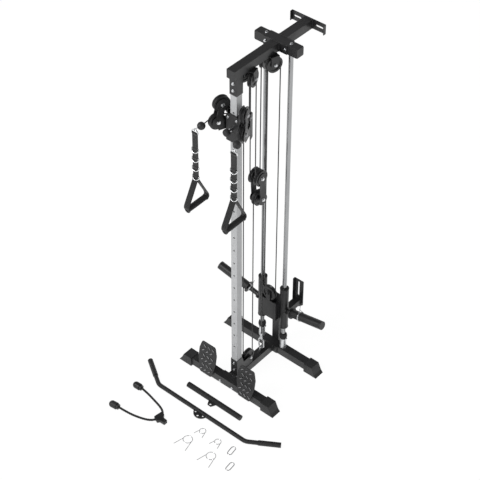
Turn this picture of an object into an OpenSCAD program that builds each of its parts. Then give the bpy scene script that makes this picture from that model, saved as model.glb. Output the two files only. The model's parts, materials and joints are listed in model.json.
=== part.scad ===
// Wall braced, plate loaded cable tower with a height adjustable slider
// X runs to the right, Y towards the wall and Z up. Lengths are in millimetres.

/* [Base frame] */
// Outside size of the square frame tubes
tube = 50; // [44:1:56]
// Wall of the square frame tubes
tube_wall = 2.5; // [2:0.5:4]
// Length of each foot tube
foot_len = 650; // [600:5:760]
// Height of the frame tubes above the floor
foot_lift = 8; // [5:1:12]
// Distance from the front foot to the front face of the upright
foot_ahead = 23; // [20:1:40]
// Thickness of the welded flange plates
flange_t = 5; // [3:0.5:8]
// Width of the flange plates between the tubes
flange_w = 110; // [100:1:130]
// Length of each plastic end cap
cap_len = 90; // [70:1:110]
// Thickness of the plastic end caps over the tube
cap_wall = 3; // [2:0.5:5]
// Thickness of the plastic end caps in front of and behind the tube
cap_side = 8; // [5:0.5:10]
// Overhang of the cap's skirt beyond the end of the tube
cap_skirt = 22; // [15:1:35]

/* [Upright] */
// Outside size of the square upright
upright_w = 40; // [38:1:44]
// Wall of the upright
upright_wall = 2.5; // [2:0.5:3]
// Height of the lowest adjustment hole
hole_first_z = 270; // [240:1:300]
// Distance between adjustment holes
hole_pitch = 90; // [80:1:90]
// Number of adjustment holes
hole_count = 19; // [18:1:19]
// Diameter of the adjustment holes
hole_d = 11; // [10.6:0.1:13]
// Thickness of the steel in the sockets and brackets
plate_t = 3; // [2.5:0.5:5]
// Height of the socket on the spine
socket_h = 109; // [95:1:130]
// Length of the sleeve that hangs from the top beam
top_sleeve_len = 104; // [90:1:125]

/* [Top frame] */
// Height of the underside of the top beam
beam_z = 2100; // [2060:5:2200]
// Overhang of the top beam in front of the upright
beam_nose = 21; // [10:1:40]
// Half length of the cross beam over the guide rods
cross_half = 134; // [125:1:160]
// Half width of the plate that bolts the top beam to the cross beam
saddle_half = 74; // [66:1:85]
// Distance from the guide rods to the wall
wall_gap = 235; // [200:5:320]
// Half width of the upper wall plate
wall_plate_half = 106; // [98:1:120]
// Height of the upper wall plate
wall_plate_h = 55; // [52:1:70]
// Thickness of both wall plates
wall_plate_t = 4; // [3:0.5:6]
// Depth of the turned edges of the upper wall plate
wall_lip = 14; // [8:1:20]
// Width of the screw slots in the wall plates
slot_w = 11; // [8:0.5:12]
// Length of the screw slots in the wall plates
slot_len = 44; // [36:1:50]
// Length of the lower wall plate's slot
low_slot_len = 108; // [60:1:110]
// Distance between the two slots of the upper wall plate
slot_span = 138; // [130:1:144]

/* [Lower wall bracket] */
// Width of the post behind the carriage
post_w = 46; // [40:1:50]
// Depth of the post behind the carriage
post_d = 36; // [30:1:42]
// Height of the top of the post
post_top_z = 229; // [215:1:300]
// Size of the arm from the post to the wall
arm_w = 40; // [34:1:44]
// Half width of the lower wall plate
low_half = 33; // [28:1:40]
// Height of the lower edge of the lower wall plate
low_plate_z = 160; // [150:1:170]
// Height of the lower wall plate
low_plate_h = 211; // [200:1:230]

/* [Guide rods] */
// Diameter of the guide rods
rod_d = 25; // [22:0.5:28]
// Half distance between the guide rods
rod_x = 78; // [76:1:90]
// Outside diameter of the sockets and set collars on the rods
collar_d = 38; // [34:1:42]
// Height of the socket at the foot of each rod
rod_socket_h = 20; // [15:1:30]
// Height of the set collar
collar_h = 52; // [40:1:60]
// Outside diameter of the rubber bumper
bumper_d = 46; // [40:1:48]
// Height of the rubber bumper
bumper_h = 38; // [35:1:55]

/* [Pulleys and cables] */
// Outside diameter of the large pulleys
pulley_d = 90; // [86:1:94]
// Width of the rim of a pulley
pulley_w = 22; // [18:1:22]
// Depth from the rim of a pulley to the middle of its cable
rim_depth = 5; // [4.5:0.25:6]
// Outside diameter of the two sheaves in the slider
sheave_d = 61; // [58:1:62]
// Diameter of the cable with its jacket
cable_d = 5.5; // [4.5:0.25:6]
// Gap between a cable and the groove it runs in
cable_gap = 0.35; // [0.3:0.05:0.6]
// Diameter of the axle bolts of the pulleys
axle_d = 10; // [8:0.5:12]
// Running gap between an axle and its pulley, on the radius
axle_gap = 0.05; // [0.02:0.01:0.1]
// Gap between the hub of a pulley and the plates beside it
hub_gap = 0.3; // [0.3:0.1:0.8]
// Angle by which the top pulleys are turned outwards
top_toe = 16; // [12:1:18]
// Height of the axles of the top pulleys
top_axle_z = 2050; // [2046:1:2051]
// Distance of the slider's cables behind the face of the upright
slider_line_y = 70.2; // [68:0.2:76]
// Distance of the front low cable behind the face of the upright
low_line_y = 75; // [70:1:80]
// Height of the axle of the low pulley
low_axle_z = 107; // [104.5:0.5:112]
// Height of the axle of the floating pulleys' upper pair
float_upper_z = 1376; // [1300:1:1390]
// Distance between the upper and the lower axle of the floating block
float_span = 144; // [120:1:150]
// Half distance between the side plates of the floating block, inside
float_half = 29; // [28.5:0.5:34]
// Radius of the rounded ends of the floating block's plates
float_end_r = 32; // [28:1:40]

/* [Slider] */
// Number of the adjustment hole that the slider stands at, counted from below
slider_hole = 18; // [17:1:18]
// Height of the slider's sleeve
slider_h = 165; // [160:1:175]
// Height of the slider's sleeve below its pin
slider_drop = 85; // [80:1:90]
// Thickness of the plastic liners in the slider
liner_t = 2; // [1.5:0.1:3]
// Running gap between the liners and the upright
liner_gap = 0.3; // [0.2:0.05:0.5]
// Height of each liner
liner_h = 30; // [20:1:40]
// Half width of the slider's front plate
front_half = 41; // [36:1:41]
// Thickness of the slider's front plate and shelves
slider_t = 5; // [4:0.5:6]
// Angle by which the slider's sheaves and arms are turned outwards
slider_toe = 22.5; // [20:0.5:25]
// Height of the axle of a slider sheave above the pin
sheave_rise = 64; // [62:1:66]
// Half distance between the plates beside a slider sheave, inside
cheek_half = 12; // [11.5:0.1:12.5]
// Distance from a slider cable forward to the pivot of its arm
pivot_ahead = 52; // [51:0.5:53]
// Diameter of the pivot pin of an arm
pivot_d = 10; // [8:0.5:11]

/* [Swivel arms] */
// Distance from the pivot forward to the lower arm pulley
arm_low_ahead = 56; // [55:0.5:60]
// Distance from the pivot forward to the upper arm pulley
arm_high_ahead = 32; // [30:0.5:34]
// Height of the lower arm pulley above the slider's pin
arm_low_rise = 20; // [18:0.5:21]
// Height of the upper arm pulley above the slider's pin
arm_high_rise = 118; // [117:0.5:122]
// Half distance between the plates of an arm, inside
arm_half = 14; // [12:0.5:14]
// Thickness of the plates of an arm
arm_t = 4; // [3:0.5:4]
// Radius of the rounded ends of an arm's plates
arm_end_r = 33; // [32:1:40]

/* [Handles] */
// Diameter of the stop ball on the cable
ball_d = 42; // [34:1:44]
// Distance from a slider cable forward to the stop ball
ball_ahead = 193; // [186:1:200]
// Drop of the stop ball below the axle of the lower arm pulley
ball_drop = 2; // [0:0.5:8]
// Distance of the handles from the middle plane
handle_x = 124.5; // [120:0.5:130]
// Distance of the handles in front of the upright
handle_ahead = 143; // [138:1:150]
// Width of the webbing
strap_w = 28; // [24:1:32]
// Thickness of the doubled webbing
strap_t = 5; // [4:0.5:6]
// Drop from the slider's pin to the first D-ring
ring_first_drop = 108; // [100:1:112]
// Distance between D-rings
ring_pitch = 57.3; // [54:0.1:60]
// Number of D-rings on each handle
ring_count = 4; // [2:1:4]
// Diameter of the wire of the D-rings
ring_wire = 5; // [4:0.5:6]
// Drop from the slider's pin to the middle of the grip
grip_drop = 458; // [440:1:480]
// Height from the grip to the point where the webbing parts
strap_fork = 165; // [150:1:170]
// Length of the grip
grip_len = 143; // [135:1:155]
// Diameter of the foam grip
grip_d = 32; // [29:1:36]

/* [Weight carriage] */
// Height of the lower end of the carriage sleeves
carriage_z = 230; // [228:1:240]
// Length of the carriage sleeves
carriage_h = 289; // [280:1:330]
// Outside diameter of the carriage sleeves
carriage_d = 50; // [48:1:52]
// Wall of the carriage sleeves
carriage_wall = 3; // [2.5:0.5:4]
// Running gap between a bushing and its rod, on the radius
bushing_gap = 0.08; // [0.03:0.01:0.1]
// Length of each bushing inside its sleeve
bushing_len = 40; // [30:1:60]
// Thickness of the flange of each bushing
bushing_rim = 4; // [3:0.5:6]
// Height of the axle of the weight pulley
weight_axle_z = 467; // [462:1:475]
// Height of the plate between the sleeves
web_h = 200; // [190:1:210]
// Distance from the weight pulley's plane back to the plate between the sleeves
web_behind = 13; // [13:0.5:15]
// Height of the horn where it meets the sleeve
horn_z = 361; // [350:1:375]
// Angle by which the horns rise outwards
horn_tilt = 10.7; // [8:0.1:13]
// Distance from the middle plane to the end of each horn
horn_reach = 348; // [330:1:352]
// Diameter of the horns
horn_d = 28; // [25:1:32]
// Outside diameter of the plate sleeves on the horns
load_d = 50; // [48:0.5:50]
// Length of each plate sleeve
load_len = 220; // [210:1:230]
// Distance along the left horn to its plate sleeve
load_left_start = 80; // [70:1:90]
// Distance along the right horn to its plate sleeve
load_right_start = 40; // [30:1:45]

/* [Foot plates] */
// Height of the lower edge of the foot plates
foot_plate_z = 20; // [14:1:26]
// Length of the foot plates along their slope
plate_len = 217; // [200:1:230]
// Width of the lower edge of a foot plate
foot_plate_low_w = 86; // [76:1:92]
// Width of the upper edge of a foot plate
foot_plate_top_w = 96; // [90:1:104]
// Greatest width of a foot plate
foot_plate_wide = 126; // [116:1:132]
// Distance from the middle plane to the middle of a foot plate
foot_plate_x = 142; // [136:1:150]
// Angle by which the foot plates lean back
foot_plate_lean = 9.2; // [6:0.1:11]
// Thickness of the foot plates
foot_plate_t = 4; // [3:0.5:5]
// Rows of raised bars on a foot plate
tread_rows = 6; // [3:1:6]
// Raised bars in each row
tread_bars = 3; // [2:1:3]

/* [Loose attachments] */
// Distance from the middle plane to the middle of both loose bars
bar_x = 28; // [20:1:36]
// Distance of the straight part of the lat bar in front of the upright
lat_ahead = 314; // [308:1:322]
// Length of the straight part of the lat bar
lat_straight = 640; // [600:5:700]
// Length of each bent end of the lat bar
lat_end = 195; // [180:1:205]
// Angle of the bent ends of the lat bar
lat_angle = 32.5; // [28:0.5:36]
// Diameter of the lat bar
lat_d = 25; // [22:0.5:28]
// Diameter of the grips on the lat bar
lat_grip_d = 30; // [28.5:0.5:34]
// Length of the grips on the lat bar
lat_grip_len = 125; // [110:1:135]
// Distance of the row bar in front of the upright
row_ahead = 205; // [200:1:210]
// Length of the row bar
row_len = 388; // [340:1:400]
// Diameter of the row bar over its grip
row_d = 32; // [28:0.5:34]
// Diameter of the triceps rope
rope_d = 13; // [10:0.5:16]
// Radius of the rubber stops on the triceps rope
rope_stop_r = 20; // [17:0.5:22]
// Diameter of the eye holes of the loose attachments
eye_d = 14; // [12:0.5:16]
// Diameter of the wire of the spring clips
clip_wire = 4.4; // [3.6:0.2:5]
// Diameter of the wire of the carabiners
hook_wire = 7; // [5:0.5:8]

/* [Hidden] */

// Cutting tools run past the faces that they cut by this much
cut = 1;
// Lengths of cable and bar that are drawn apart end this far from each other
seam = 0.02;
// The same gap as an angle about a pulley's axle
seam_turn = 0.03;
// Number of facets asked of a full circle
round_n = 64;
// Colours of the finishes
frame_black = [0.16, 0.16, 0.17];
plastic_black = [0.08, 0.08, 0.09];
rubber_black = [0.11, 0.11, 0.11];
cable_black = [0.05, 0.05, 0.05];
silver = [0.80, 0.81, 0.82];
chrome = [0.74, 0.75, 0.77];

// Height of the top of the foot tubes and of the spine
base_top = foot_lift + tube;
foot_half = foot_len / 2;
// Each foot tube ends this far inside the end of its feet
cap_seat = 14;
// Middle of the front foot across its tube
front_foot_y = -foot_ahead - tube / 2;
socket_top = base_top + socket_h;
upright_y = upright_w / 2;

// Radius from an axle to the middle of its cable
wrap_r = pulley_d / 2 - rim_depth;
sheave_wrap_r = sheave_d / 2 - rim_depth;
cable_r = cable_d / 2;
axle_r = axle_d / 2;
bore_r = axle_r + axle_gap;
// The cables run down from the top pulleys at these places
toe_x = wrap_r * sin(top_toe);
toe_y = wrap_r * cos(top_toe);
slider_line_x = wrap_r;
lift_line_x = wrap_r - 2 * toe_x;
lift_front_y = slider_line_y + 2 * toe_y;
lift_rear_y = lift_front_y + 2 * wrap_r;
weight_line_y = lift_rear_y + 2 * toe_y;
top_pulley_x = wrap_r - toe_x;
top_front_y = slider_line_y + toe_y;
top_rear_y = lift_rear_y + toe_y;
float_upper_y = lift_front_y + wrap_r;
low_axle_y = low_line_y + wrap_r;
float_lower_y = low_axle_y + 2 * wrap_r;
float_lower_z = float_upper_z - float_span;
anchor_y = float_lower_y + wrap_r;

// The guide rods stand behind the weight pulley
rod_y = weight_line_y + 33;
rod_r = rod_d / 2;
wall_y = rod_y + wall_gap;
front_y = rod_y - tube / 2;
rear_y = rod_y + tube / 2;

// The hub of a pulley between plates this far from its middle
hanger_half = pulley_w / 2 + 1.7;
weight_plate_half = web_behind;

// The slider stands at one of the adjustment holes
pin_z = hole_first_z + (slider_hole - 1) * hole_pitch;
slider_z = pin_z - slider_drop;
sheave_z = pin_z + sheave_rise;
liner_open = upright_w + 2 * liner_gap;
sleeve_open = liner_open + 2 * liner_t;
sleeve_out = sleeve_open + 2 * plate_t;
sleeve_front_y = upright_y - sleeve_out / 2;
// The arms turn about pins between these two shelves
shelf_low_z = pin_z - 36;
shelf_high_z = pin_z + 26;
arm_low_s = pivot_ahead + arm_low_ahead;
arm_high_s = pivot_ahead + arm_high_ahead;
arm_low_z = pin_z + arm_low_rise;
arm_high_z = pin_z + arm_high_rise;

// From the slider sheave past the pivot and over the lower arm pulley
leg_ds = arm_low_s - sheave_wrap_r;
leg_dz = arm_low_z - sheave_z;
leg_len = norm([leg_ds, leg_dz]);
leg_angle = atan2(leg_dz, leg_ds) + asin((sheave_wrap_r + wrap_r) / leg_len);
leave_s = sheave_wrap_r + sheave_wrap_r * sin(leg_angle);
leave_z = sheave_z - sheave_wrap_r * cos(leg_angle);
meet_s = arm_low_s - wrap_r * sin(leg_angle);
meet_z = arm_low_z + wrap_r * cos(leg_angle);
pivot_cable_z = leave_z + (pivot_ahead - leave_s) * tan(leg_angle);
// The ball hangs on the last stretch
ball_z = arm_low_z - ball_drop;
ball_ds = ball_ahead - arm_low_s;
ball_len = norm([ball_ds, ball_drop]);
part_angle = acos(wrap_r / ball_len) - atan2(ball_drop, ball_ds);
part_s = arm_low_s + wrap_r * cos(part_angle);
part_z = arm_low_z + wrap_r * sin(part_angle);
ball_way = unit([ball_ahead - part_s, ball_z - part_z]);
tail_end = [ball_ahead, ball_z] - ball_way * (ball_d / 2 + axle_gap);
// Gap between cable end and pivot, for the turning arm
pivot_gap = cable_r * tan(20);
ball_x = slider_line_x + ball_ahead * sin(slider_toe);
ball_y = slider_line_y - ball_ahead * cos(slider_toe);

// Handle heights
handle_y = -handle_ahead;
link_r = 19;
link_wire = 6;
strap_top_z = pin_z - 11;
grip_z = pin_z - grip_drop;
fork_z = grip_z + strap_fork;

// Carriage
horn_root = rod_x + carriage_d / 2;
web_y = weight_line_y + web_behind;
web_z = carriage_z + 45;

// Radius of the bends of the lat bar
bend_r = 60;

// The whole object is centred on its box in plan
rope_stop_far = [-385, -590];
plan_shift = [-bar_x, -(wall_y + rope_stop_far[1] - rope_stop_r) / 2, 0];

// Route of the triceps rope from stop to stop through the yoke
rope_route = [
    [-343, -585, 20], [-300, -577, 12], [-252, -568, 8], [-205, -556, 8], [-171, -543, 8],
    [-147, -527, 8], [-132, -508, 9], [-124, -487, 9], [-128, -462, 9], [-148, -441, 8],
    [-182, -426, 8], [-235, -413, 8], [-291, -403, 12], [-342, -400, 20]
];
rope_stop_near = [-382, -402];
yoke = [-122, -487];

// Functions

function unit(v) = v / norm(v);

// Points of a fillet of radius r at corner b between a and c
function fillet(a, b, c, r) =
    let (u = unit(a - b), w = unit(c - b), half = acos(u * w) / 2)
    let (p = b + u * r / tan(half), q = b + w * r / tan(half))
    let (o = b + unit(u + w) * r / sin(half))
    let (start = atan2(p.y - o.y, p.x - o.x), stop = atan2(q.y - o.y, q.x - o.x))
    let (turn = (stop - start + 540) % 360 - 180)
    [for (i = [0:6]) o + r * [cos(start + turn * i / 6), sin(start + turn * i / 6)]];

// A polygon with every corner rounded
function rounded(pts, r) =
    let (n = len(pts))
    [for (i = [0:n - 1]) each fillet(pts[(i + n - 1) % n], pts[i], pts[(i + 1) % n], r)];

// Place on the cable, a distance past the pivot
function past_pivot(gap) = [pivot_ahead + gap * cos(leg_angle), 0, pivot_cable_z + gap * sin(leg_angle)];

// Direction of a route at point i
function heading(route, i) =
    unit(route[min(i + 1, len(route) - 1)] - route[max(i - 1, 0)]);

// One ring of a swept tube, square to the route
function sweep_ring(route, i, r, sides) =
    let (t = heading(route, i), side = unit(cross(t, [0, 0, 1])), up = cross(side, t))
    [for (k = [0:sides - 1]) route[i] + r * (side * cos(360 * k / sides) + up * sin(360 * k / sides))];

// Helpers

module box(lo, hi) {
    translate(lo)
        cube(hi - lo);
}

// Everything is drawn in place and moved by the same shift
module placed(colour) {
    color(colour)
        translate(plan_shift)
            children();
}

module both_sides() {
    children();
    mirror([1, 0, 0])
        children();
}

module on_side(side) {
    mirror([side < 0 ? 1 : 0, 0, 0])
        children();
}

// Square tube along Z, centred on its axis
module square_tube(size, wall, length) {
    difference() {
        translate([-size / 2, -size / 2, 0])
            cube([size, size, length]);
        translate([-size / 2 + wall, -size / 2 + wall, -cut])
            cube([size - 2 * wall, size - 2 * wall, length + 2 * cut]);
    }
}

module along_x() {
    rotate([0, 90, 0])
        children();
}

module along_y() {
    rotate([-90, 0, 0])
        children();
}

module rod_between(p, q, r) {
    d = q - p;
    translate(p)
        rotate([0, acos(d.z / norm(d)), atan2(d.y, d.x)])
            cylinder(r = r, h = norm(d), $fn = round_n);
}

module ring_plate(r, hole_r, h) {
    difference() {
        cylinder(r = r, h = h, $fn = round_n);
        translate([0, 0, -cut])
            cylinder(r = hole_r, h = h + 2 * cut, $fn = round_n);
    }
}

// Plate standing across Y with its outline in X and Z
module plate_xz(pts, y, t) {
    translate([0, y + t, 0])
        rotate([90, 0, 0])
            linear_extrude(t)
                polygon(pts);
}

// Plate standing across X with its outline in Y and Z
module plate_yz(pts, x, t) {
    translate([x, 0, 0])
        rotate([90, 0, 90])
            linear_extrude(t)
                polygon(pts);
}

// Screw slot through a plate across Y
module slot_along_y(length, width, depth, upright_slot) {
    rotate([0, upright_slot ? 90 : 0, 0]) {
        for (x = [width - length, length - width])
            translate([x / 2, 0, 0])
                along_y()
                    cylinder(d = width, h = depth, $fn = round_n);
        translate([-(length - width) / 2, 0, -width / 2])
            cube([length - width, depth, width]);
    }
}

// Hexagon bolt head with washer, standing on the XY plane
module bolt_head(size) {
    cylinder(r = size * 0.95, h = 1.6, $fn = round_n);
    translate([0, 0, 1.6])
        cylinder(r = size * 0.78, h = size * 0.6, $fn = 6);
}

// Grooved pulley about Z with its hub from lo to hi
module pulley(d, w, lo, hi) {
    r = d / 2;
    groove = cable_r + cable_gap;
    hub_r = bore_r + 7;
    dish = w * 0.16;
    rotate_extrude($fn = 96) {
        difference() {
            translate([bore_r, -w / 2])
                square([r - bore_r, w]);
            translate([r - rim_depth, 0])
                circle(r = groove, $fn = 32);
            polygon([
                [r - rim_depth, -groove], [r + cut, -w * 0.4],
                [r + cut, w * 0.4], [r - rim_depth, groove]
            ]);
            for (y = [w / 2 - dish, -w / 2 - cut])
                translate([hub_r, y])
                    square([r - rim_depth - groove - 4 - hub_r, dish + cut]);
        }
        translate([bore_r, lo])
            square([hub_r - bore_r, hi - lo]);
    }
}

// Cable arc about Z from angle a to angle b
module cable_arc(radius, a, b) {
    rotate([0, 0, a])
        rotate_extrude(angle = b - a, $fn = 96)
            translate([radius, 0])
                circle(r = cable_r, $fn = 24);
}

module cable_run(p, q) {
    rod_between(p, q, cable_r);
}

// Local frame of a right top pulley, X along its disc and Y along its axle
module at_top(rear) {
    translate([top_pulley_x, rear ? top_rear_y : top_front_y, top_axle_z])
        rotate([0, 0, (rear ? -1 : 1) * (top_toe - 90)])
            children();
}

// Frame of the right slider cable, X forward in the toed plane
module at_line() {
    translate([slider_line_x, slider_line_y, 0])
        rotate([0, 0, slider_toe - 90])
            children();
}

// Frame

module foot_tube(y) {
    translate([cap_seat - foot_half, y, foot_lift + tube / 2])
        along_x()
            square_tube(tube, tube_wall, foot_len - 2 * cap_seat);
}

module foot_beams() {
    placed(frame_black) {
        foot_tube(front_foot_y);
        foot_tube(rod_y);
    }
}

module end_cap(y) {
    inner = foot_half + cap_skirt - cap_len;
    outer = foot_half + cap_skirt;
    depth = tube + 2 * cap_side;
    top = base_top + cap_wall;
    difference() {
        translate([0, y + depth / 2, 0])
            rotate([90, 0, 0])
                linear_extrude(depth)
                    polygon([
                        [inner, 0], [outer, 0], [outer - 14, 15],
                        [foot_half - 12, top], [inner, top]
                    ]);
        box(
            [inner - cut, y - tube / 2, foot_lift],
            [foot_half - cap_seat, y + tube / 2, base_top]
        );
    }
}

module end_caps() {
    placed(plastic_black)
        both_sides() {
            end_cap(front_foot_y);
            end_cap(rod_y);
        }
}

module center_beam() {
    length = front_y + foot_ahead;
    placed(frame_black) {
        translate([0, -foot_ahead + flange_t, foot_lift + tube / 2])
            along_y()
                square_tube(tube, tube_wall, length - 2 * flange_t);
        box([-flange_w / 2, -foot_ahead, foot_lift], [flange_w / 2, -foot_ahead + flange_t, base_top]);
        box([-flange_w / 2, front_y - flange_t, foot_lift], [flange_w / 2, front_y, base_top]);
    }
}

module socket_side(x) {
    nose = low_axle_y + 15;
    crown = low_axle_z + 13;
    plate_yz(
        rounded([
            [-plate_t, base_top], [-plate_t, socket_top], [upright_w + 2, socket_top],
            [upright_w + 14, crown], [nose, crown], [nose, base_top]
        ], 5),
        x, plate_t
    );
}

module upright_socket() {
    half = upright_w / 2;
    placed(frame_black)
        difference() {
            union() {
                socket_side(half);
                socket_side(-half - plate_t);
                box([-half, -plate_t, base_top + 5], [half, 0, socket_top - 5]);
                box([-half, 0, base_top], [half, upright_w, base_top + plate_t]);
            }
            translate([-half - plate_t - cut, low_axle_y, low_axle_z])
                along_x()
                    cylinder(r = axle_r, h = upright_w + 2 * plate_t + 2 * cut, $fn = round_n);
        }
}

module upright() {
    foot = base_top + plate_t;
    placed(silver)
        difference() {
            translate([0, upright_y, foot])
                square_tube(upright_w, upright_wall, beam_z - foot);
            for (i = [0:hole_count - 1])
                translate([0, -cut, hole_first_z + i * hole_pitch])
                    along_y()
                        cylinder(d = hole_d, h = upright_wall + 2 * cut, $fn = round_n);
        }
}

module top_beam() {
    length = front_y - flange_t + beam_nose;
    half = upright_w / 2;
    low = beam_z - top_sleeve_len;
    placed(frame_black) {
        translate([0, -beam_nose, beam_z + tube / 2])
            along_y()
                square_tube(tube, tube_wall, length);
        box([-tube / 2, -beam_nose, beam_z], [tube / 2, tube_wall - beam_nose, beam_z + tube]);
        box(
            [-saddle_half, front_y - flange_t, beam_z],
            [saddle_half, front_y, beam_z + tube]
        );
        difference() {
            box([-half - plate_t, -plate_t, low], [half + plate_t, upright_w + plate_t, beam_z]);
            box([-half, 0, low - cut], [half, upright_w, beam_z + cut]);
        }
    }
}

module cross_beam() {
    placed(frame_black) {
        translate([-cross_half + 3, rod_y, beam_z + tube / 2])
            along_x()
                square_tube(tube, tube_wall, 2 * cross_half - 6);
        both_sides()
            translate([cross_half - 3, rod_y, beam_z + tube / 2])
                along_x()
                    intersection() {
                        translate([-tube / 2, -tube / 2, 0])
                            cube([tube, tube, 3]);
                        rotate([0, 0, 45])
                            translate([-tube * 0.66, -tube * 0.66, 0])
                                cube([tube * 1.32, tube * 1.32, 3]);
                    }
    }
}

module top_wall_beam() {
    back = wall_y - wall_plate_t;
    top = beam_z + wall_plate_h;
    placed(frame_black)
        difference() {
            union() {
                translate([0, rear_y + flange_t, beam_z + tube / 2])
                    along_y()
                        square_tube(tube, tube_wall, back - rear_y - flange_t);
                box(
                    [-saddle_half, rear_y, beam_z],
                    [saddle_half, rear_y + flange_t, beam_z + tube]
                );
                box([-wall_plate_half, back, beam_z], [wall_plate_half, wall_y, top]);
                both_sides()
                    box(
                        [wall_plate_half - plate_t, back - wall_lip, beam_z],
                        [wall_plate_half, back, top]
                    );
            }
            both_sides()
                translate([slot_span / 2, back - cut, beam_z + wall_plate_h / 2])
                    slot_along_y(slot_len, slot_w, wall_plate_t + 2 * cut, false);
        }
}

module guide_rods() {
    placed(chrome)
        both_sides()
            translate([rod_x, rod_y, base_top])
                cylinder(r = rod_r, h = beam_z - base_top, $fn = round_n);
}

module rod_collars() {
    placed(chrome)
        both_sides()
            translate([rod_x, rod_y, base_top]) {
                ring_plate(collar_d / 2, rod_r, rod_socket_h);
                translate([0, 0, rod_socket_h])
                    ring_plate(collar_d / 2 - 1, rod_r, collar_h);
                translate([0, collar_d / 2 - 3, rod_socket_h + collar_h / 2])
                    along_y()
                        cylinder(d = 12, h = 11, $fn = round_n);
            }
}

module rod_bumpers() {
    placed(rubber_black)
        both_sides()
            translate([rod_x, rod_y, base_top + rod_socket_h + collar_h])
                ring_plate(bumper_d / 2, rod_r, bumper_h);
}

module lower_wall_bracket() {
    half = post_w / 2;
    back = wall_y - wall_plate_t;
    top = low_plate_z + low_plate_h;
    placed(frame_black) {
        difference() {
            box([-half, rear_y, foot_lift], [half, rear_y + post_d, post_top_z]);
            box(
                [-half + tube_wall, rear_y + tube_wall, foot_lift - cut],
                [half - tube_wall, rear_y + post_d - tube_wall, post_top_z - tube_wall]
            );
        }
        translate([0, rear_y + post_d, post_top_z - arm_w / 2])
            along_y()
                square_tube(arm_w, tube_wall, back - rear_y - post_d);
        difference() {
            union() {
                plate_xz([
                    [-low_half, low_plate_z], [low_half * 0.2, low_plate_z],
                    [low_half, low_plate_z + low_half * 0.8],
                    [low_half, top], [-low_half, top]
                ], back, wall_plate_t);
                box(
                    [-low_half, back - wall_lip, low_plate_z],
                    [plate_t - low_half, back, top]
                );
            }
            translate([0, back - cut, top - 14 - low_slot_len / 2])
                slot_along_y(low_slot_len, slot_w, wall_plate_t + 2 * cut, true);
        }
    }
}

// One foot plate in its own plane, X across, Z up the slope, tread at -Y
module foot_plate() {
    low = foot_plate_low_w / 2;
    top = foot_plate_top_w / 2;
    wide = foot_plate_wide / 2;
    bar = [26, 7];
    row_pitch = plate_len / (tread_rows + 0.6);
    plate_xz(
        rounded([
            [-low, 0], [low, 0], [wide, plate_len * 0.45], [wide, plate_len * 0.75],
            [top, plate_len], [-top, plate_len], [-wide, plate_len * 0.75],
            [-wide, plate_len * 0.45]
        ], 14),
        -foot_plate_t, foot_plate_t
    );
    for (row = [0:tread_rows - 1])
        for (i = [0:tread_bars - 1])
            translate([
                (i - (tread_bars - 1) / 2 + (row % 2 == 0 ? 0.18 : -0.18)) * low * 0.68,
                -foot_plate_t - 1.5, (row + 0.8) * row_pitch
            ])
                rotate([0, row % 2 == 0 ? 40 : -40, 0])
                    translate([-bar.x / 2, 0, -bar.y / 2])
                        cube([bar.x, 1.5, bar.y]);
}

module foot_plates() {
    lean = tan(foot_plate_lean);
    front = front_foot_y - tube / 2;
    rear = front + 6;
    placed(frame_black)
        both_sides() {
            translate([foot_plate_x, front - 11, foot_plate_z])
                rotate([-foot_plate_lean, 0, 0])
                    foot_plate();
            difference() {
                union() {
                    box(
                        [foot_plate_x - 25, front - 11 + (foot_lift + 8 - foot_plate_z) * lean, foot_lift + 14],
                        [foot_plate_x + 25, front, base_top - 6]
                    );
                    box([foot_plate_x - 25, front, base_top], [foot_plate_x + 25, rear + 44, base_top + 4]);
                    box([foot_plate_x - 25, front - 11, base_top - 6], [foot_plate_x + 25, front, base_top + 4]);
                }
                translate([foot_plate_x, front - 11, foot_plate_z])
                    rotate([-foot_plate_lean, 0, 0])
                        box([-60, -90, -60], [60, -foot_plate_t / 2, plate_len]);
            }
        }
}

module frame_bolts() {
    front = front_foot_y - tube / 2;
    placed(chrome) {
        both_sides() {
            translate([flange_w / 2 - 11, front, foot_lift + 14])
                rotate([90, 0, 0])
                    bolt_head(8);
            translate([flange_w / 2 - 11, rear_y, foot_lift + tube / 2])
                along_y()
                    bolt_head(8);
            translate([saddle_half - 12, front_y - flange_t, beam_z + tube / 2])
                rotate([90, 0, 0])
                    bolt_head(8);
            translate([saddle_half - 12, rear_y + flange_t, beam_z + tube / 2])
                along_y()
                    bolt_head(8);
            translate([rod_x, rod_y, beam_z + tube])
                bolt_head(9);
            translate([foot_plate_x, front + 30, base_top + 4])
                bolt_head(8);
            translate([upright_w / 2 + plate_t, low_axle_y, low_axle_z])
                along_x()
                    bolt_head(9);
            at_top(false)
                rotate([-90, 0, 0])
                    hanger_bolt();
            at_top(true)
                mirror([0, 1, 0])
                    rotate([-90, 0, 0])
                        hanger_bolt();
        }
        for (z = [socket_top - 28, socket_top - 82, beam_z - 36, beam_z - 76])
            translate([0, -plate_t, z])
                rotate([90, 0, 0])
                    bolt_head(8);
        translate([-upright_w / 2 - plate_t, low_axle_y, low_axle_z])
            along_x()
                cylinder(r = axle_r, h = upright_w + 2 * plate_t, $fn = round_n);
    }
}

// Axle of a top pulley with a head and a nut, along Z
module hanger_bolt() {
    far = hanger_half + plate_t;
    translate([0, 0, -far])
        cylinder(r = axle_r, h = 2 * far, $fn = round_n);
    translate([0, 0, far])
        bolt_head(9);
    rotate([180, 0, 0])
        translate([0, 0, far])
            bolt_head(9);
}

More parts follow.
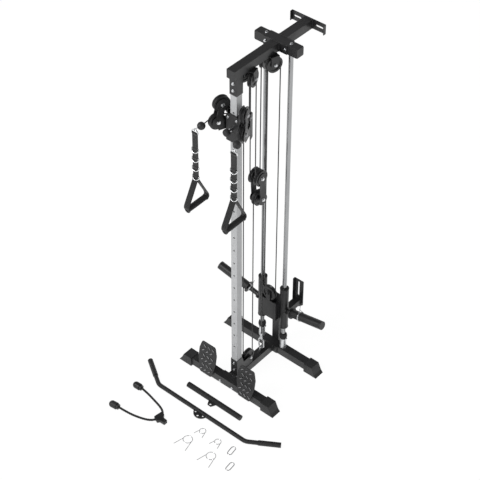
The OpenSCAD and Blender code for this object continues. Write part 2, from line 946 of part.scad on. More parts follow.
// Two cheek plates and their top plate, X along the disc and Y across it
module hanger() {
    half = 24;
    drop = 16;
    rise = beam_z - top_axle_z;
    difference() {
        union() {
            for (y = [hanger_half, -hanger_half - plate_t])
                plate_xz([
                    [-half, rise], [half, rise], [half, 0], [half - 10, -drop],
                    [10 - half, -drop], [-half, 0]
                ], y, plate_t);
            box([-half, -hanger_half, rise - 4], [half, hanger_half, rise]);
        }
        translate([0, -hanger_half - plate_t - cut, 0])
            along_y()
                cylinder(r = axle_r, h = 2 * (hanger_half + plate_t + cut), $fn = round_n);
    }
}

module top_hangers() {
    placed(frame_black)
        both_sides() {
            at_top(false)
                hanger();
            at_top(true)
                hanger();
        }
}

module cable_anchor() {
    eye_z = base_top + 16;
    ring_r = 17;
    eye_hole = 16;
    wire = 4;
    ring_z = eye_z + eye_hole / 2 - cable_gap - wire + ring_r;
    long = 38;
    swivel_z = ring_z + long + ring_r;
    placed(chrome) {
        difference() {
            plate_yz(
                rounded([
                    [anchor_y - 20, base_top], [anchor_y + 20, base_top],
                    [anchor_y + 11, eye_z + 13], [anchor_y - 11, eye_z + 13]
                ], 3),
                -4, 8
            );
            translate([-4 - cut, anchor_y, eye_z])
                along_x()
                    cylinder(d = eye_hole, h = 8 + 2 * cut, $fn = round_n);
        }
        translate([0, anchor_y, ring_z]) {
            for (upper = [0, 1])
                translate([0, 0, upper * long])
                    rotate([90, 0, 0])
                        rotate([0, 0, 180 - 180 * upper])
                            rotate_extrude(angle = 180, $fn = round_n)
                                translate([ring_r, 0])
                                    circle(r = wire, $fn = 24);
            for (x = [-ring_r, ring_r])
                translate([x, 0, 0])
                    cylinder(r = wire, h = long, $fn = round_n);
        }
        translate([0, anchor_y, swivel_z])
            cylinder(r = 8, h = 26, $fn = round_n);
        translate([0, anchor_y, swivel_z + 26])
            cylinder(r = 6, h = anchor_top() - swivel_z - 26, $fn = round_n);
    }
}

// Height of the ferrule where the rear low cable ends
function anchor_top() = base_top + 136;

// Cables

module slider_cables() {
    placed(cable_black)
        both_sides() {
            cable_run([slider_line_x, slider_line_y, sheave_z], [slider_line_x, slider_line_y, top_axle_z]);
            at_line() {
                translate([sheave_wrap_r, 0, sheave_z])
                    rotate([90, 0, 0])
                        cable_arc(sheave_wrap_r, 180, 270 + leg_angle);
                cable_run([leave_s, 0, leave_z], past_pivot(-pivot_gap));
            }
        }
}

module lift_cables() {
    placed(cable_black)
        both_sides() {
            at_top(false)
                rotate([90, 0, 0])
                    cable_arc(wrap_r, 0, 180);
            for (y = [lift_front_y, lift_rear_y])
                cable_run([lift_line_x, y, float_upper_z], [lift_line_x, y, top_axle_z - seam]);
            translate([lift_line_x, float_upper_y, float_upper_z])
                rotate([90, 0, 90])
                    cable_arc(wrap_r, 180, 360);
            at_top(true)
                rotate([90, 0, 0])
                    cable_arc(wrap_r, 0, 180);
        }
}

module weight_cables() {
    placed(cable_black) {
        both_sides()
            cable_run([wrap_r, weight_line_y, weight_axle_z], [wrap_r, weight_line_y, top_axle_z]);
        translate([0, weight_line_y, weight_axle_z])
            rotate([90, 0, 0])
                cable_arc(wrap_r, 180, 360);
    }
}

module low_cable_front() {
    placed(cable_black) {
        cable_run([0, low_line_y, low_axle_z], [0, low_line_y, slider_z + 10]);
        translate([0, low_axle_y, low_axle_z])
            rotate([90, 0, 90])
                cable_arc(wrap_r, 180, 360);
    }
}

module low_cable_rear() {
    placed(cable_black) {
        cable_run([0, low_axle_y + wrap_r, low_axle_z], [0, low_axle_y + wrap_r, float_lower_z]);
        translate([0, float_lower_y, float_lower_z])
            rotate([90, 0, 90])
                cable_arc(wrap_r, 0, 180);
        cable_run([0, anchor_y, anchor_top()], [0, anchor_y, float_lower_z]);
    }
}

module swivel_cable(side) {
    placed(cable_black)
        on_side(side)
            at_line() {
                cable_run(past_pivot(pivot_gap), [meet_s, 0, meet_z]);
                translate([arm_low_s, 0, arm_low_z])
                    rotate([90, 0, 0])
                        cable_arc(wrap_r, part_angle + seam_turn, 90 + leg_angle - seam_turn);
                cable_run([part_s, 0, part_z], [tail_end.x, 0, tail_end.y]);
            }
}

// Pulleys

module top_pulley(side, rear) {
    hub = hanger_half - hub_gap;
    placed(plastic_black)
        on_side(side)
            at_top(rear)
                along_y()
                    pulley(pulley_d, pulley_w, -hub, hub);
}

module low_pulley() {
    hub = upright_w / 2 - hub_gap;
    placed(plastic_black)
        translate([0, low_axle_y, low_axle_z])
            along_x()
                pulley(pulley_d, pulley_w, -hub, hub);
}

module weight_pulley() {
    hub = weight_plate_half - hub_gap;
    placed(plastic_black)
        translate([0, weight_line_y, weight_axle_z])
            along_y()
                pulley(pulley_d, pulley_w, -hub, hub);
}

module floating_upper_pulleys() {
    w = pulley_w - 2;
    placed(plastic_black)
        both_sides()
            translate([lift_line_x, float_upper_y, float_upper_z])
                along_x()
                    pulley(pulley_d, w, -lift_line_x, float_half - hub_gap - lift_line_x);
}

module floating_lower_pulley() {
    hub = float_half - hub_gap;
    placed(plastic_black)
        translate([0, float_lower_y, float_lower_z])
            along_x()
                pulley(pulley_d, pulley_w, -hub, hub);
}

module slider_pulley(side) {
    hub = cheek_half - hub_gap;
    placed(plastic_black)
        on_side(side)
            at_line()
                translate([sheave_wrap_r, 0, sheave_z])
                    along_y()
                        pulley(sheave_d, pulley_w - 2, -hub, hub);
}

module swivel_pulley(side, s, z) {
    hub = arm_half - hub_gap;
    placed(plastic_black)
        on_side(side)
            at_line()
                translate([s, 0, z])
                    along_y()
                        pulley(pulley_d, pulley_w, -hub, hub);
}

// Slider

// Cheek plate beside a slider sheave, S forward and Z up
function cheek_outline() = [
    [-8, slider_z + 8], [28, slider_z + 8], [28, sheave_z - 20], [40, sheave_z - 9],
    [40, sheave_z + 9], [32, sheave_z + 17], [2, sheave_z + 17], [-8, sheave_z + 5]
];

module slider_shelf(z) {
    half = sleeve_out / 2;
    translate([0, 0, z])
        linear_extrude(slider_t) {
            polygon([
                [half - plate_t / 2, 2], [half - plate_t / 2, upright_w + 4],
                [half + 2, upright_w + 26], [half + 26, 22], [half + 20, 4]
            ]);
            translate([slider_line_x, slider_line_y])
                rotate(slider_toe - 90) {
                    translate([-8, -cheek_half - plate_t])
                        square([36, 2 * (cheek_half + plate_t)]);
                    translate([0, -pivot_d])
                        square([pivot_ahead, 2 * pivot_d]);
                    translate([pivot_ahead, 0])
                        circle(r = pivot_d, $fn = round_n);
                }
        }
}

module slider_side() {
    at_line() {
        for (y = [cheek_half, -cheek_half - plate_t])
            plate_xz(rounded(cheek_outline(), 4), y, plate_t);
        box([-8, -cheek_half, slider_z + 8], [-5, cheek_half, shelf_high_z]);
    }
    slider_shelf(shelf_low_z);
    slider_shelf(shelf_high_z);
}

module slider_body() {
    half = sleeve_out / 2;
    open = sleeve_open / 2;
    front = sleeve_front_y - slider_t + 1;
    top = slider_z + slider_h;
    lug_y = low_line_y + 11;
    placed(frame_black)
        difference() {
            union() {
                box([-half, upright_y - half, slider_z], [half, upright_y + half, top]);
                plate_xz(
                    rounded([
                        [-front_half, slider_z], [front_half, slider_z],
                        [front_half, top - 12], [front_half - 14, top],
                        [14 - front_half, top], [-front_half, top - 12]
                    ], 5),
                    front, sleeve_front_y - front
                );
                box([-10, upright_y + half - 1, slider_z + 10], [10, lug_y, slider_z + 22]);
                both_sides()
                    slider_side();
            }
            box([-open, upright_y - open, slider_z - cut], [open, upright_y + open, top + cut]);
            translate([0, front - cut, pin_z])
                along_y()
                    cylinder(d = pin_sleeve_d(), h = upright_w / 2, $fn = round_n);
            both_sides()
                at_line() {
                    translate([sheave_wrap_r, -cheek_half - plate_t - cut, sheave_z])
                        along_y()
                            cylinder(r = axle_r, h = 2 * (cheek_half + plate_t + cut), $fn = round_n);
                    translate([pivot_ahead, 0, shelf_low_z - cut])
                        cylinder(d = pivot_d, h = shelf_high_z - shelf_low_z + slider_t + 2 * cut,
                            $fn = round_n);
                }
        }
}

// Diameter of the hole in the slider for the pin's barrel
function pin_sleeve_d() = 20;

module slider_liners() {
    open = liner_open / 2;
    half = sleeve_open / 2;
    placed(plastic_black)
        for (z = [slider_z, slider_z + slider_h - liner_h])
            difference() {
                box([-half, upright_y - half, z], [half, upright_y + half, z + liner_h]);
                box([-open, upright_y - open, z - cut], [open, upright_y + open, z + liner_h + cut]);
            }
}

module slider_bolts() {
    far = cheek_half + plate_t;
    front = sleeve_front_y - slider_t + 1;
    barrel = 16;
    placed(chrome) {
        both_sides()
            at_line() {
                translate([sheave_wrap_r, 0, sheave_z]) {
                    translate([0, -far, 0])
                        along_y()
                            cylinder(r = axle_r, h = 2 * far, $fn = round_n);
                    translate([0, far, 0])
                        along_y()
                            bolt_head(8);
                }
                translate([pivot_ahead, 0, shelf_low_z])
                    cylinder(d = pivot_d, h = shelf_high_z - shelf_low_z + slider_t, $fn = round_n);
                translate([pivot_ahead, 0, shelf_low_z])
                    mirror([0, 0, 1])
                        bolt_head(8);
            }
        for (x = [-28, 28])
            translate([x, front, pin_z + 58])
                rotate([90, 0, 0])
                    bolt_head(7);
        translate([0, front - barrel, pin_z])
            along_y()
                difference() {
                    cylinder(d = pin_sleeve_d(), h = barrel + upright_y - sleeve_open / 2 - front, $fn = round_n);
                    translate([0, 0, -cut])
                        cylinder(r = pin_r() + axle_gap, h = upright_w, $fn = round_n);
                }
    }
}

function pin_r() = 5;

module pop_pin() {
    barrel_end = sleeve_front_y - slider_t + 1 - 16;
    travel = 13;
    placed(silver) {
        translate([0, barrel_end - travel, pin_z])
            along_y()
                cylinder(r = pin_r(), h = travel - barrel_end - 2, $fn = round_n);
        translate([0, barrel_end - travel, pin_z])
            rotate([90, 0, 0])
                rotate_extrude($fn = round_n)
                    polygon([
                        [0, 0], [13, 0], [19, 5], [20, 10], [20, 19], [17, 25], [11, 28], [0, 29]
                    ]);
    }
}

// Swivel arms

module arm_plate_2d() {
    waist = arm_end_r * 0.56;
    mid = [(arm_low_s + arm_high_s) / 2, (arm_low_z + arm_high_z) / 2];
    along = unit([arm_high_s - arm_low_s, arm_high_z - arm_low_z]);
    across = [along.y, -along.x];
    reach = arm_end_r * 0.62;
    translate([arm_low_s, arm_low_z])
        circle(r = arm_end_r, $fn = 96);
    translate([arm_high_s, arm_high_z])
        circle(r = arm_end_r, $fn = 96);
    polygon([
        mid + across * waist + along * reach, mid + across * waist - along * reach,
        mid - across * waist - along * reach, mid - across * waist + along * reach
    ]);
    translate([pivot_ahead - 9, shelf_low_z + slider_t + 3])
        square([arm_low_ahead + 9, shelf_high_z - shelf_low_z - slider_t - 6]);
}

module swivel_arm(side) {
    far = arm_half + arm_t;
    block_low = shelf_low_z + slider_t + hub_gap;
    block_high = shelf_high_z - hub_gap;
    placed(frame_black)
        on_side(side)
            at_line() {
                difference() {
                    union() {
                        for (y = [arm_half, -far])
                            translate([0, y + arm_t, 0])
                                rotate([90, 0, 0])
                                    linear_extrude(arm_t)
                                        arm_plate_2d();
                        box([pivot_ahead - 9, -arm_half, block_low], [pivot_ahead + 9, arm_half, block_high]);
                    }
                    translate([pivot_ahead, 0, block_low - cut])
                        cylinder(r = pivot_d / 2 + axle_gap, h = block_high - block_low + 2 * cut,
                            $fn = round_n);
                }
                for (p = [[arm_low_s, arm_low_z], [arm_high_s, arm_high_z]])
                    translate([p.x, 0, p.y]) {
                        translate([0, -far, 0])
                            along_y()
                                cylinder(r = axle_r, h = 2 * far, $fn = round_n);
                        translate([0, far, 0])
                            along_y()
                                bolt_head(9);
                        translate([0, -far, 0])
                            rotate([90, 0, 0])
                                bolt_head(9);
                    }
            }
}

// Handles

// Half ring with a bar along X, the arc hanging at an angle
module d_ring(r, wire, lean) {
    translate([-r, 0, 0])
        along_x()
            cylinder(d = wire, h = 2 * r, $fn = round_n);
    rotate([90 - lean, 0, 0])
        rotate([0, 0, 180])
            rotate_extrude(angle = 180, $fn = round_n)
                translate([r, 0])
                    circle(d = wire, $fn = 24);
    for (x = [-r, r])
        translate([x, 0, 0])
            sphere(d = wire, $fn = round_n);
}

module cable_ball(side) {
    centre = [ball_x, ball_y, ball_z];
    link = [handle_x, handle_y, strap_top_z];
    placed(rubber_black)
        on_side(side) {
            translate(centre)
                sphere(d = ball_d, $fn = round_n);
            rod_between(centre, link + [0, 0, link_r], 4);
            translate(link)
                d_ring(link_r, link_wire, 180);
        }
}

// Heights of the D-rings
function ring_z(i) = pin_z - ring_first_drop - i * ring_pitch;

module handle_rings(side) {
    placed(chrome)
        on_side(side)
            for (i = [0:ring_count - 1])
                translate([handle_x, handle_y, ring_z(i)])
                    d_ring(strap_w / 2 + 4, ring_wire, 30);
}

// Side view of the webbing, Y across and Z up, about the handle's line
module strap_2d() {
    slip = 0.3;
    spread = grip_len / 2 + strap_t / 2 + 1;
    difference() {
        union() {
            for (i = [0:ring_count - 1])
                translate([0, ring_z(i)])
                    circle(d = ring_wire + 7, $fn = 32);
            translate([0, strap_top_z])
                circle(d = link_wire + 7, $fn = 32);
            polygon([
                [strap_t / 2, strap_top_z], [-strap_t / 2, strap_top_z], [-strap_t / 2, fork_z + 4],
                [-spread - 2, grip_z + 22], [-spread - 2, grip_z - 6], [2 - spread, grip_z - 6],
                [2 - spread, grip_z + 20], [0, fork_z - 8], [spread - 2, grip_z + 20],
                [spread - 2, grip_z - 6], [spread + 2, grip_z - 6], [spread + 2, grip_z + 22],
                [strap_t / 2, fork_z + 4]
            ]);
        }
        for (i = [0:ring_count - 1])
            translate([0, ring_z(i)])
                circle(d = ring_wire + 2 * slip, $fn = 32);
        translate([0, strap_top_z])
            circle(d = link_wire + 2 * slip, $fn = 32);
    }
}

module handle_strap(side) {
    placed(cable_black)
        on_side(side)
            translate([handle_x - strap_w / 2, handle_y, 0])
                rotate([90, 0, 90])
                    linear_extrude(strap_w)
                        strap_2d();
}

module handle_grip(side) {
    placed(rubber_black)
        on_side(side)
            translate([handle_x, handle_y - grip_len / 2, grip_z])
                along_y() {
                    ring_plate(grip_d / 2, grip_d / 2 - 6, grip_len);
                    for (z = [0, grip_len - 6])
                        translate([0, 0, z])
                            ring_plate(grip_d / 2 + 2, grip_d / 2 - 6, 6);
                }
}

// Floating block

module floating_block() {
    far = float_half + plate_t;
    waist = float_end_r - 12;
    axles = [[float_upper_y, float_upper_z], [float_lower_y, float_lower_z]];
    placed(frame_black)
        both_sides()
        {
            translate([float_half, 0, 0])
                rotate([90, 0, 90])
                    linear_extrude(plate_t) {
                        for (p = axles)
                            translate(p)
                                circle(r = float_end_r, $fn = 96);
                        polygon([
                            [axles[0].x - waist, axles[0].y], [axles[0].x + waist, axles[0].y],
                            [axles[1].x + waist, axles[1].y], [axles[1].x - waist, axles[1].y]
                        ]);
                    }
            for (p = axles) {
                translate([0, p.x, p.y])
                    along_x()
                        cylinder(r = axle_r, h = far, $fn = round_n);
                translate([far, p.x, p.y])
                    along_x()
                        bolt_head(9);
            }
        }
}

// Weight carriage

module at_horn() {
    translate([horn_root - 6, rod_y - 4, horn_z])
        rotate([0, 90 - horn_tilt, 0])
            children();
}

function horn_len() = (horn_reach - horn_root + 6) / cos(horn_tilt);

module weight_carriage() {
    open_r = carriage_d / 2 - carriage_wall;
    front = weight_line_y - weight_plate_half - plate_t;
    web_top = web_z + web_h;
    placed(frame_black) {
        difference() {
            union() {
                both_sides() {
                    translate([rod_x, rod_y, carriage_z])
                        cylinder(d = carriage_d, h = carriage_h, $fn = round_n);
                    at_horn()
                        cylinder(d = horn_d, h = horn_len(), $fn = round_n);
                    at_horn()
                        cylinder(d = horn_d + 16, h = 12, $fn = round_n);
                }
                box([-rod_x + 12, web_y, web_z], [rod_x - 12, web_y + 6, web_top]);
            }
            both_sides()
                translate([rod_x, rod_y, carriage_z - cut])
                    cylinder(r = open_r, h = carriage_h + 2 * cut, $fn = round_n);
            translate([0, web_y - cut, weight_axle_z])
                along_y()
                    cylinder(r = axle_r, h = 6 + 2 * cut, $fn = round_n);
        }
        box([-22, front + plate_t, web_z + 110], [22, web_y, web_z + 120]);
        box([22 - rod_x, front, web_z + 12], [rod_x - 22, front + plate_t, web_z + 144]);
        box([-14, front, web_z + 143], [14, front + plate_t, weight_axle_z + 13]);
        both_sides()
            box([rod_x - 25, front, web_z + 12], [rod_x - 22, web_y, web_z + 144]);
        translate([0, front, weight_axle_z])
            along_y()
                cylinder(r = axle_r, h = web_y + 6 - front, $fn = round_n);
        translate([0, front, weight_axle_z])
            rotate([90, 0, 0])
                bolt_head(10);
    }
}

module carriage_bushings() {
    open_r = carriage_d / 2 - carriage_wall;
    slide_r = rod_r + bushing_gap;
    top = carriage_z + carriage_h;
    placed(plastic_black)
        both_sides()
            translate([rod_x, rod_y, 0]) {
                for (z = [carriage_z, top - bushing_len])
                    translate([0, 0, z])
                        ring_plate(open_r, slide_r, bushing_len);
                for (z = [carriage_z - bushing_rim, top])
                    translate([0, 0, z])
                        ring_plate(carriage_d / 2 + 1, slide_r, bushing_rim);
            }
}

module load_sleeve(start) {
    at_horn() {
        difference() {
            translate([0, 0, start])
                cylinder(d = load_d, h = load_len, $fn = round_n);
            translate([0, 0, start - cut])
                cylinder(d = horn_d, h = horn_len() - start + cut, $fn = round_n);
        }
        translate([0, 0, start])
            ring_plate(load_d / 2 + 9, load_d / 2, 6);
    }
}

module plate_sleeves() {
    placed(frame_black) {
        load_sleeve(load_right_start);
        on_side(-1)
            load_sleeve(load_left_start);
    }
}

// Loose attachments

// Length of straight bar that each bend takes up
function lat_swing() = bend_r * tan(lat_angle / 2);

module lat_half() {
    z = lat_grip_d / 2;
    swing = lat_swing();
    straight = lat_straight / 2;
    translate([straight - swing + seam, bend_r, z])
        rotate([0, 0, -90])
            rotate_extrude(angle = lat_angle - seam_turn, $fn = 96)
                translate([bend_r, 0])
                    circle(d = lat_d, $fn = 32);
    translate([straight + seam, 0, z])
        rotate([0, 0, lat_angle])
            along_x() {
                translate([0, 0, swing])
                    cylinder(d = lat_d, h = lat_end - lat_grip_len - swing, $fn = round_n);
                translate([0, 0, lat_end - lat_grip_len])
                    cylinder(d = lat_grip_d, h = lat_grip_len, $fn = round_n);
            }
}

module lat_bar() {
    z = lat_grip_d / 2;
    placed(frame_black)
        translate([bar_x, -lat_ahead, 0]) {
            both_sides()
                lat_half();
            translate([lat_swing() - lat_straight / 2, 0, z])
                along_x()
                    cylinder(d = lat_d, h = lat_straight - 2 * lat_swing(), $fn = round_n);
            difference() {
                translate([0, 0, z - 4])
                    intersection() {
                        cylinder(r = 44, h = 8, $fn = round_n);
                        translate([-44, -44, 0])
                            cube([88, 44, 8]);
                    }
                along_x()
                    translate([-z, 0, -50])
                        cylinder(d = lat_d - 2, h = 100, $fn = round_n);
                for (a = [-60, 0, 60])
                    rotate([0, 0, a])
                        translate([0, -31, z - 4 - cut])
                            cylinder(d = eye_d, h = 8 + 2 * cut, $fn = round_n);
            }
        }
}

module row_bar() {
    z = row_d / 2;
    placed(rubber_black)
        translate([bar_x, -row_ahead, 0]) {
            translate([-row_len / 2, 0, z])
                along_x()
                    cylinder(d = row_d, h = row_len, $fn = round_n);
            difference() {
                translate([0, 0, z - 4])
                    linear_extrude(8)
                        polygon(rounded([[-30, -8], [30, -8], [12, -44], [-12, -44]], 4));
                translate([0, -33, z - 4 - cut])
                    cylinder(d = eye_d, h = 8 + 2 * cut, $fn = round_n);
            }
        }
}

module rope_tube() {
    sides = 10;
    rings = len(rope_route);
    pts = [for (i = [0:rings - 1]) each sweep_ring(rope_route, i, rope_d / 2, sides)];
    walls = [for (i = [0:rings - 2]) for (k = [0:sides - 1]) each [
        [i * sides + k, (i + 1) * sides + (k + 1) % sides, (i + 1) * sides + k],
        [i * sides + k, i * sides + (k + 1) % sides, (i + 1) * sides + (k + 1) % sides]
    ]];
    near = [for (k = [1:sides - 2]) [0, k + 1, k]];
    last = (rings - 1) * sides;
    far = [for (k = [1:sides - 2]) [last, last + k, last + k + 1]];
    polyhedron(points = pts, faces = concat(walls, near, far), convexity = 8);
}

// Rubber stop with a round nose at one end and a collar where the rope enters
module rope_stop(at, end) {
    nose = [at.x, at.y, rope_stop_r];
    way = end - nose;
    collar = 12;
    r = rope_stop_r;
    translate(nose)
        rotate([0, 90, atan2(way.y, way.x)])
            rotate_extrude($fn = round_n)
                difference() {
                    union() {
                        circle(r = r, $fn = round_n);
                        square([r, norm(way) - collar]);
                        square([r * 0.8, norm(way)]);
                    }
                    translate([-2 * r, -2 * r])
                        square([2 * r, 4 * r + norm(way)]);
                }
}

module triceps_rope() {
    placed(cable_black)
        rope_tube();
}

module rope_fittings() {
    yoke_h = 20;
    placed(rubber_black) {
        rope_stop(rope_stop_far, rope_route[0]);
        rope_stop(rope_stop_near, rope_route[len(rope_route) - 1]);
        difference() {
            translate([yoke.x, yoke.y, 0])
                linear_extrude(yoke_h)
                    polygon(rounded([
                        [-18, 32], [-26, -20], [8, -32], [16, -20], [49, -18], [49, 6], [18, 8], [6, 28]
                    ], 3));
            translate([yoke.x + 37, yoke.y - 6, -cut])
                cylinder(d = eye_d, h = yoke_h + 2 * cut, $fn = round_n);
        }
    }
}

// Spring clip lying flat: two turns of wire and two levers
module spring_clip(ring_r, reach) {
    r = clip_wire / 2;
    turn = clip_wire * 0.9;
    rotate_extrude($fn = round_n) {
        translate([ring_r, r])
            circle(r = r, $fn = 24);
        translate([ring_r, r + turn])
            circle(r = r, $fn = 24);
        translate([ring_r - r, r])
            square([clip_wire, turn]);
    }
    rod_between([-ring_r, 0, r + 0.2], [-ring_r * 1.6, -reach, r + 0.2], r);
    rod_between([ring_r, 0, r + turn], [ring_r * 1.6, -reach, r + turn - 2], r);
}

// Snap hook lying flat, long side along X
module carabiner(length, width) {
    r = hook_wire / 2;
    end_r = width / 2 - r;
    half = length / 2 - end_r - r;
    for (a = [0, 180])
        rotate([0, 0, a]) {
            translate([half, 0, r])
                rotate([0, 0, -90])
                    rotate_extrude(angle = 180, $fn = round_n)
                        translate([end_r, 0])
                            circle(r = r, $fn = 24);
            translate([-half, end_r, r])
                along_x()
                    cylinder(r = r, h = 2 * half, $fn = round_n);
        }
}

module loose_hardware() {
    placed(chrome) {
        translate([96, -500, 0])
            spring_clip(26, 68);
        translate([268, -505, 0])
            spring_clip(26, 68);
        translate([118, -404, 0])
            spring_clip(18, 38);
        translate([231, -407, 0])
            spring_clip(18, 38);
        translate([328, -405, 0])
            rotate([0, 0, 98])
                carabiner(66, 32);
        translate([392, -492, 0])
            rotate([0, 0, 95])
                carabiner(66, 32);
    }
}

foot_beams();
end_caps();
center_beam();
upright_socket();
upright();
top_beam();
cross_beam();
top_wall_beam();
guide_rods();
rod_collars();
rod_bumpers();
lower_wall_bracket();
foot_plates();
frame_bolts();
top_hangers();
cable_anchor();
slider_cables();
lift_cables();
weight_cables();
low_cable_front();
low_cable_rear();
swivel_cable(-1);  // swivel_cable_left
swivel_cable(1);  // swivel_cable_right
top_pulley(-1, false);  // top_front_pulley_left
top_pulley(1, false);  // top_front_pulley_right
top_pulley(-1, true);  // top_rear_pulley_left
top_pulley(1, true);  // top_rear_pulley_right
low_pulley();
weight_pulley();
floating_upper_pulleys();
floating_lower_pulley();
slider_pulley(-1);  // slider_pulley_left
slider_pulley(1);  // slider_pulley_right
swivel_pulley(-1, arm_high_s, arm_high_z);  // swivel_upper_pulley_left
swivel_pulley(-1, arm_low_s, arm_low_z);  // swivel_lower_pulley_left
swivel_pulley(1, arm_high_s, arm_high_z);  // swivel_upper_pulley_right
swivel_pulley(1, arm_low_s, arm_low_z);  // swivel_lower_pulley_right
slider_body();
slider_liners();
slider_bolts();
pop_pin();
swivel_arm(-1);  // swivel_arm_left
swivel_arm(1);  // swivel_arm_right
cable_ball(-1);  // cable_ball_left
cable_ball(1);  // cable_ball_right
handle_rings(-1);  // handle_rings_left
handle_rings(1);  // handle_rings_right
handle_strap(-1);  // handle_strap_left
handle_strap(1);  // handle_strap_right
handle_grip(-1);  // handle_grip_left
handle_grip(1);  // handle_grip_right
floating_block();
weight_carriage();
carriage_bushings();
plate_sleeves();
lat_bar();
row_bar();
triceps_rope();
rope_fittings();
loose_hardware();
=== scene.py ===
"""Looks of a wall braced cable tower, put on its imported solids: cables, rope, webbing, fittings, finishes."""
import json
import math

import bmesh
import bpy
import numpy as np
from bpy.props import FloatProperty, FloatVectorProperty, IntProperty, PointerProperty
from mathutils import Matrix, Vector


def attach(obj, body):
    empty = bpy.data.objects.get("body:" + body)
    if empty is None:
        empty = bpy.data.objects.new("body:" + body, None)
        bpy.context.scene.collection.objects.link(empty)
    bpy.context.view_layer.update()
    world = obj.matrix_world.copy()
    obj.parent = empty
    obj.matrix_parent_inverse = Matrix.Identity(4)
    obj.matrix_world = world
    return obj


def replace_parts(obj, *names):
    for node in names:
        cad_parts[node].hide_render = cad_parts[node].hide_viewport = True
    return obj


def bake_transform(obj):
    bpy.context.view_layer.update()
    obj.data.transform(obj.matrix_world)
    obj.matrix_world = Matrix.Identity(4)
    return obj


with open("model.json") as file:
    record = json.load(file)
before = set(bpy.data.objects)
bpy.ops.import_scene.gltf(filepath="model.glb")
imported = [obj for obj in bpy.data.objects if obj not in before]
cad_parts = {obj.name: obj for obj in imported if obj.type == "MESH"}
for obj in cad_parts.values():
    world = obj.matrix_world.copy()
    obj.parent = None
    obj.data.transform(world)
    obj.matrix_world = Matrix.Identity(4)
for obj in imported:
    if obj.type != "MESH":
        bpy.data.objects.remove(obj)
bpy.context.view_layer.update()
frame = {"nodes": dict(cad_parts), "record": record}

bl_info = {
    "name": "Cable tower looks",
    "version": (1, 0, 0),
    "blender": (4, 5, 0),
    "location": "3D View > Sidebar > Tower",
    "description": "Dresses the solids of a cable tower with soft pieces and finishes",
    "category": "Object",
}

# Places below are written in metres from the foot of the upright, as the solids are drawn
SHIFT = np.array([-0.028, 0.018999, 0.0])
UP = np.array([0.0, 0.0, 1.0])
ACROSS = np.array([1.0, 0.0, 0.0])
INWARD = np.array([0.0, 1.0, 0.0])
SIDES = {"left": -1, "right": 1}

# Pulleys and cables
WRAP = 0.040
SHEAVE_WRAP = 0.0255
TOP_TOE = math.radians(16)
SLIDER_TOE = math.radians(22.5)
LINE_Y = 0.0702
LOW_LINE_Y = 0.075
TOP_Z = 2.050
LOW_Z = 0.107
FLOAT_UPPER_Z = 1.376
FLOAT_LOWER_Z = 1.232
WEIGHT_Z = 0.467
ANCHOR_TOP_Z = 0.194
LIFT_X = WRAP - 2 * WRAP * math.sin(TOP_TOE)
LIFT_FRONT_Y = LINE_Y + 2 * WRAP * math.cos(TOP_TOE)
LIFT_REAR_Y = LIFT_FRONT_Y + 2 * WRAP
WEIGHT_Y = LIFT_REAR_Y + 2 * WRAP * math.cos(TOP_TOE)
TOP_X = WRAP - WRAP * math.sin(TOP_TOE)
TOP_FRONT_Y = LINE_Y + WRAP * math.cos(TOP_TOE)
TOP_REAR_Y = LIFT_REAR_Y + WRAP * math.cos(TOP_TOE)
FLOAT_UPPER_Y = LIFT_FRONT_Y + WRAP
LOW_AXLE_Y = LOW_LINE_Y + WRAP
FLOAT_LOWER_Y = LOW_AXLE_Y + 2 * WRAP
ANCHOR_Y = FLOAT_LOWER_Y + WRAP
CROSS_FRONT_Y = WEIGHT_Y + 0.033 - 0.025
CROSS_REAR_Y = CROSS_FRONT_Y + 0.050
WALL_Y = WEIGHT_Y + 0.033 + 0.235

# Slider and arms: lengths forward along the turned plane, and heights
PIN_Z = 1.800
SLIDER_LUG_Z = 1.725
SHEAVE_Z = PIN_Z + 0.064
PIVOT_S = 0.052
ARM_S = 0.108
ARM_Z = PIN_Z + 0.020
ARM_UPPER_S = 0.084
ARM_UPPER_Z = PIN_Z + 0.118
ARM_FAR = 0.018
FLOAT_FAR = 0.032
BALL_S = 0.193
BALL_Z = ARM_Z - 0.002
BALL_R = 0.021
LINK_R = 0.0215

# Guide rods, bumpers and horns
ROD_X = 0.078
ROD_Y = WEIGHT_Y + 0.033
BUMPER_Z = 0.058 + 0.072
BUMPER_H = 0.038
HORN_X = 0.097
HORN_Z = 0.361
LOAD_R = 0.025
HORN_TILT = math.radians(10.7)
OWN_FINISH = {"guide_rods": "rod_chrome", "rod_collars": "collar_metal", "loose_hardware": "wire_metal"}

# Handles
HANDLE_X = 0.1245
HANDLE_Y = -0.143
STRAP_TOP_Z = PIN_Z - 0.011
GRIP_Z = PIN_Z - 0.458
FORK_Z = GRIP_Z + 0.165
RING_Z = [PIN_Z - 0.108 - i * 0.0573 for i in range(4)]
GRIP_HALF = 0.0715
RING_WIRE_R = 0.0027
RING_LEAN = math.radians(24)
LINK_WIRE_R = 0.0030
EYE_R = 0.0062
EYE_WIRE_R = 0.0018
PLY_GAP = 0.0004
BELL_H = 0.0055

# Foot plates: lean, length, lower half width, thickness, and the place of the right plate's foot
TREAD_LEAN = math.radians(9.2)
TREAD_LEN = 0.217
TREAD_LOW_HALF = 0.043
TREAD_THICK = 0.004
TREAD_FOOT = np.array([0.142, -0.084, 0.020])

# Small round on painted edges
EDGE_ROUND = 0.0016

# Route of the rope, as in the source of the solids
ROPE_ROUTE = np.array([
    [-343, -585, 20], [-300, -577, 12], [-252, -568, 8], [-205, -556, 8], [-171, -543, 8],
    [-147, -527, 8], [-132, -508, 9], [-124, -487, 9], [-128, -462, 9], [-148, -441, 8],
    [-182, -426, 8], [-235, -413, 8], [-291, -403, 12], [-342, -400, 20],
]) / 1000

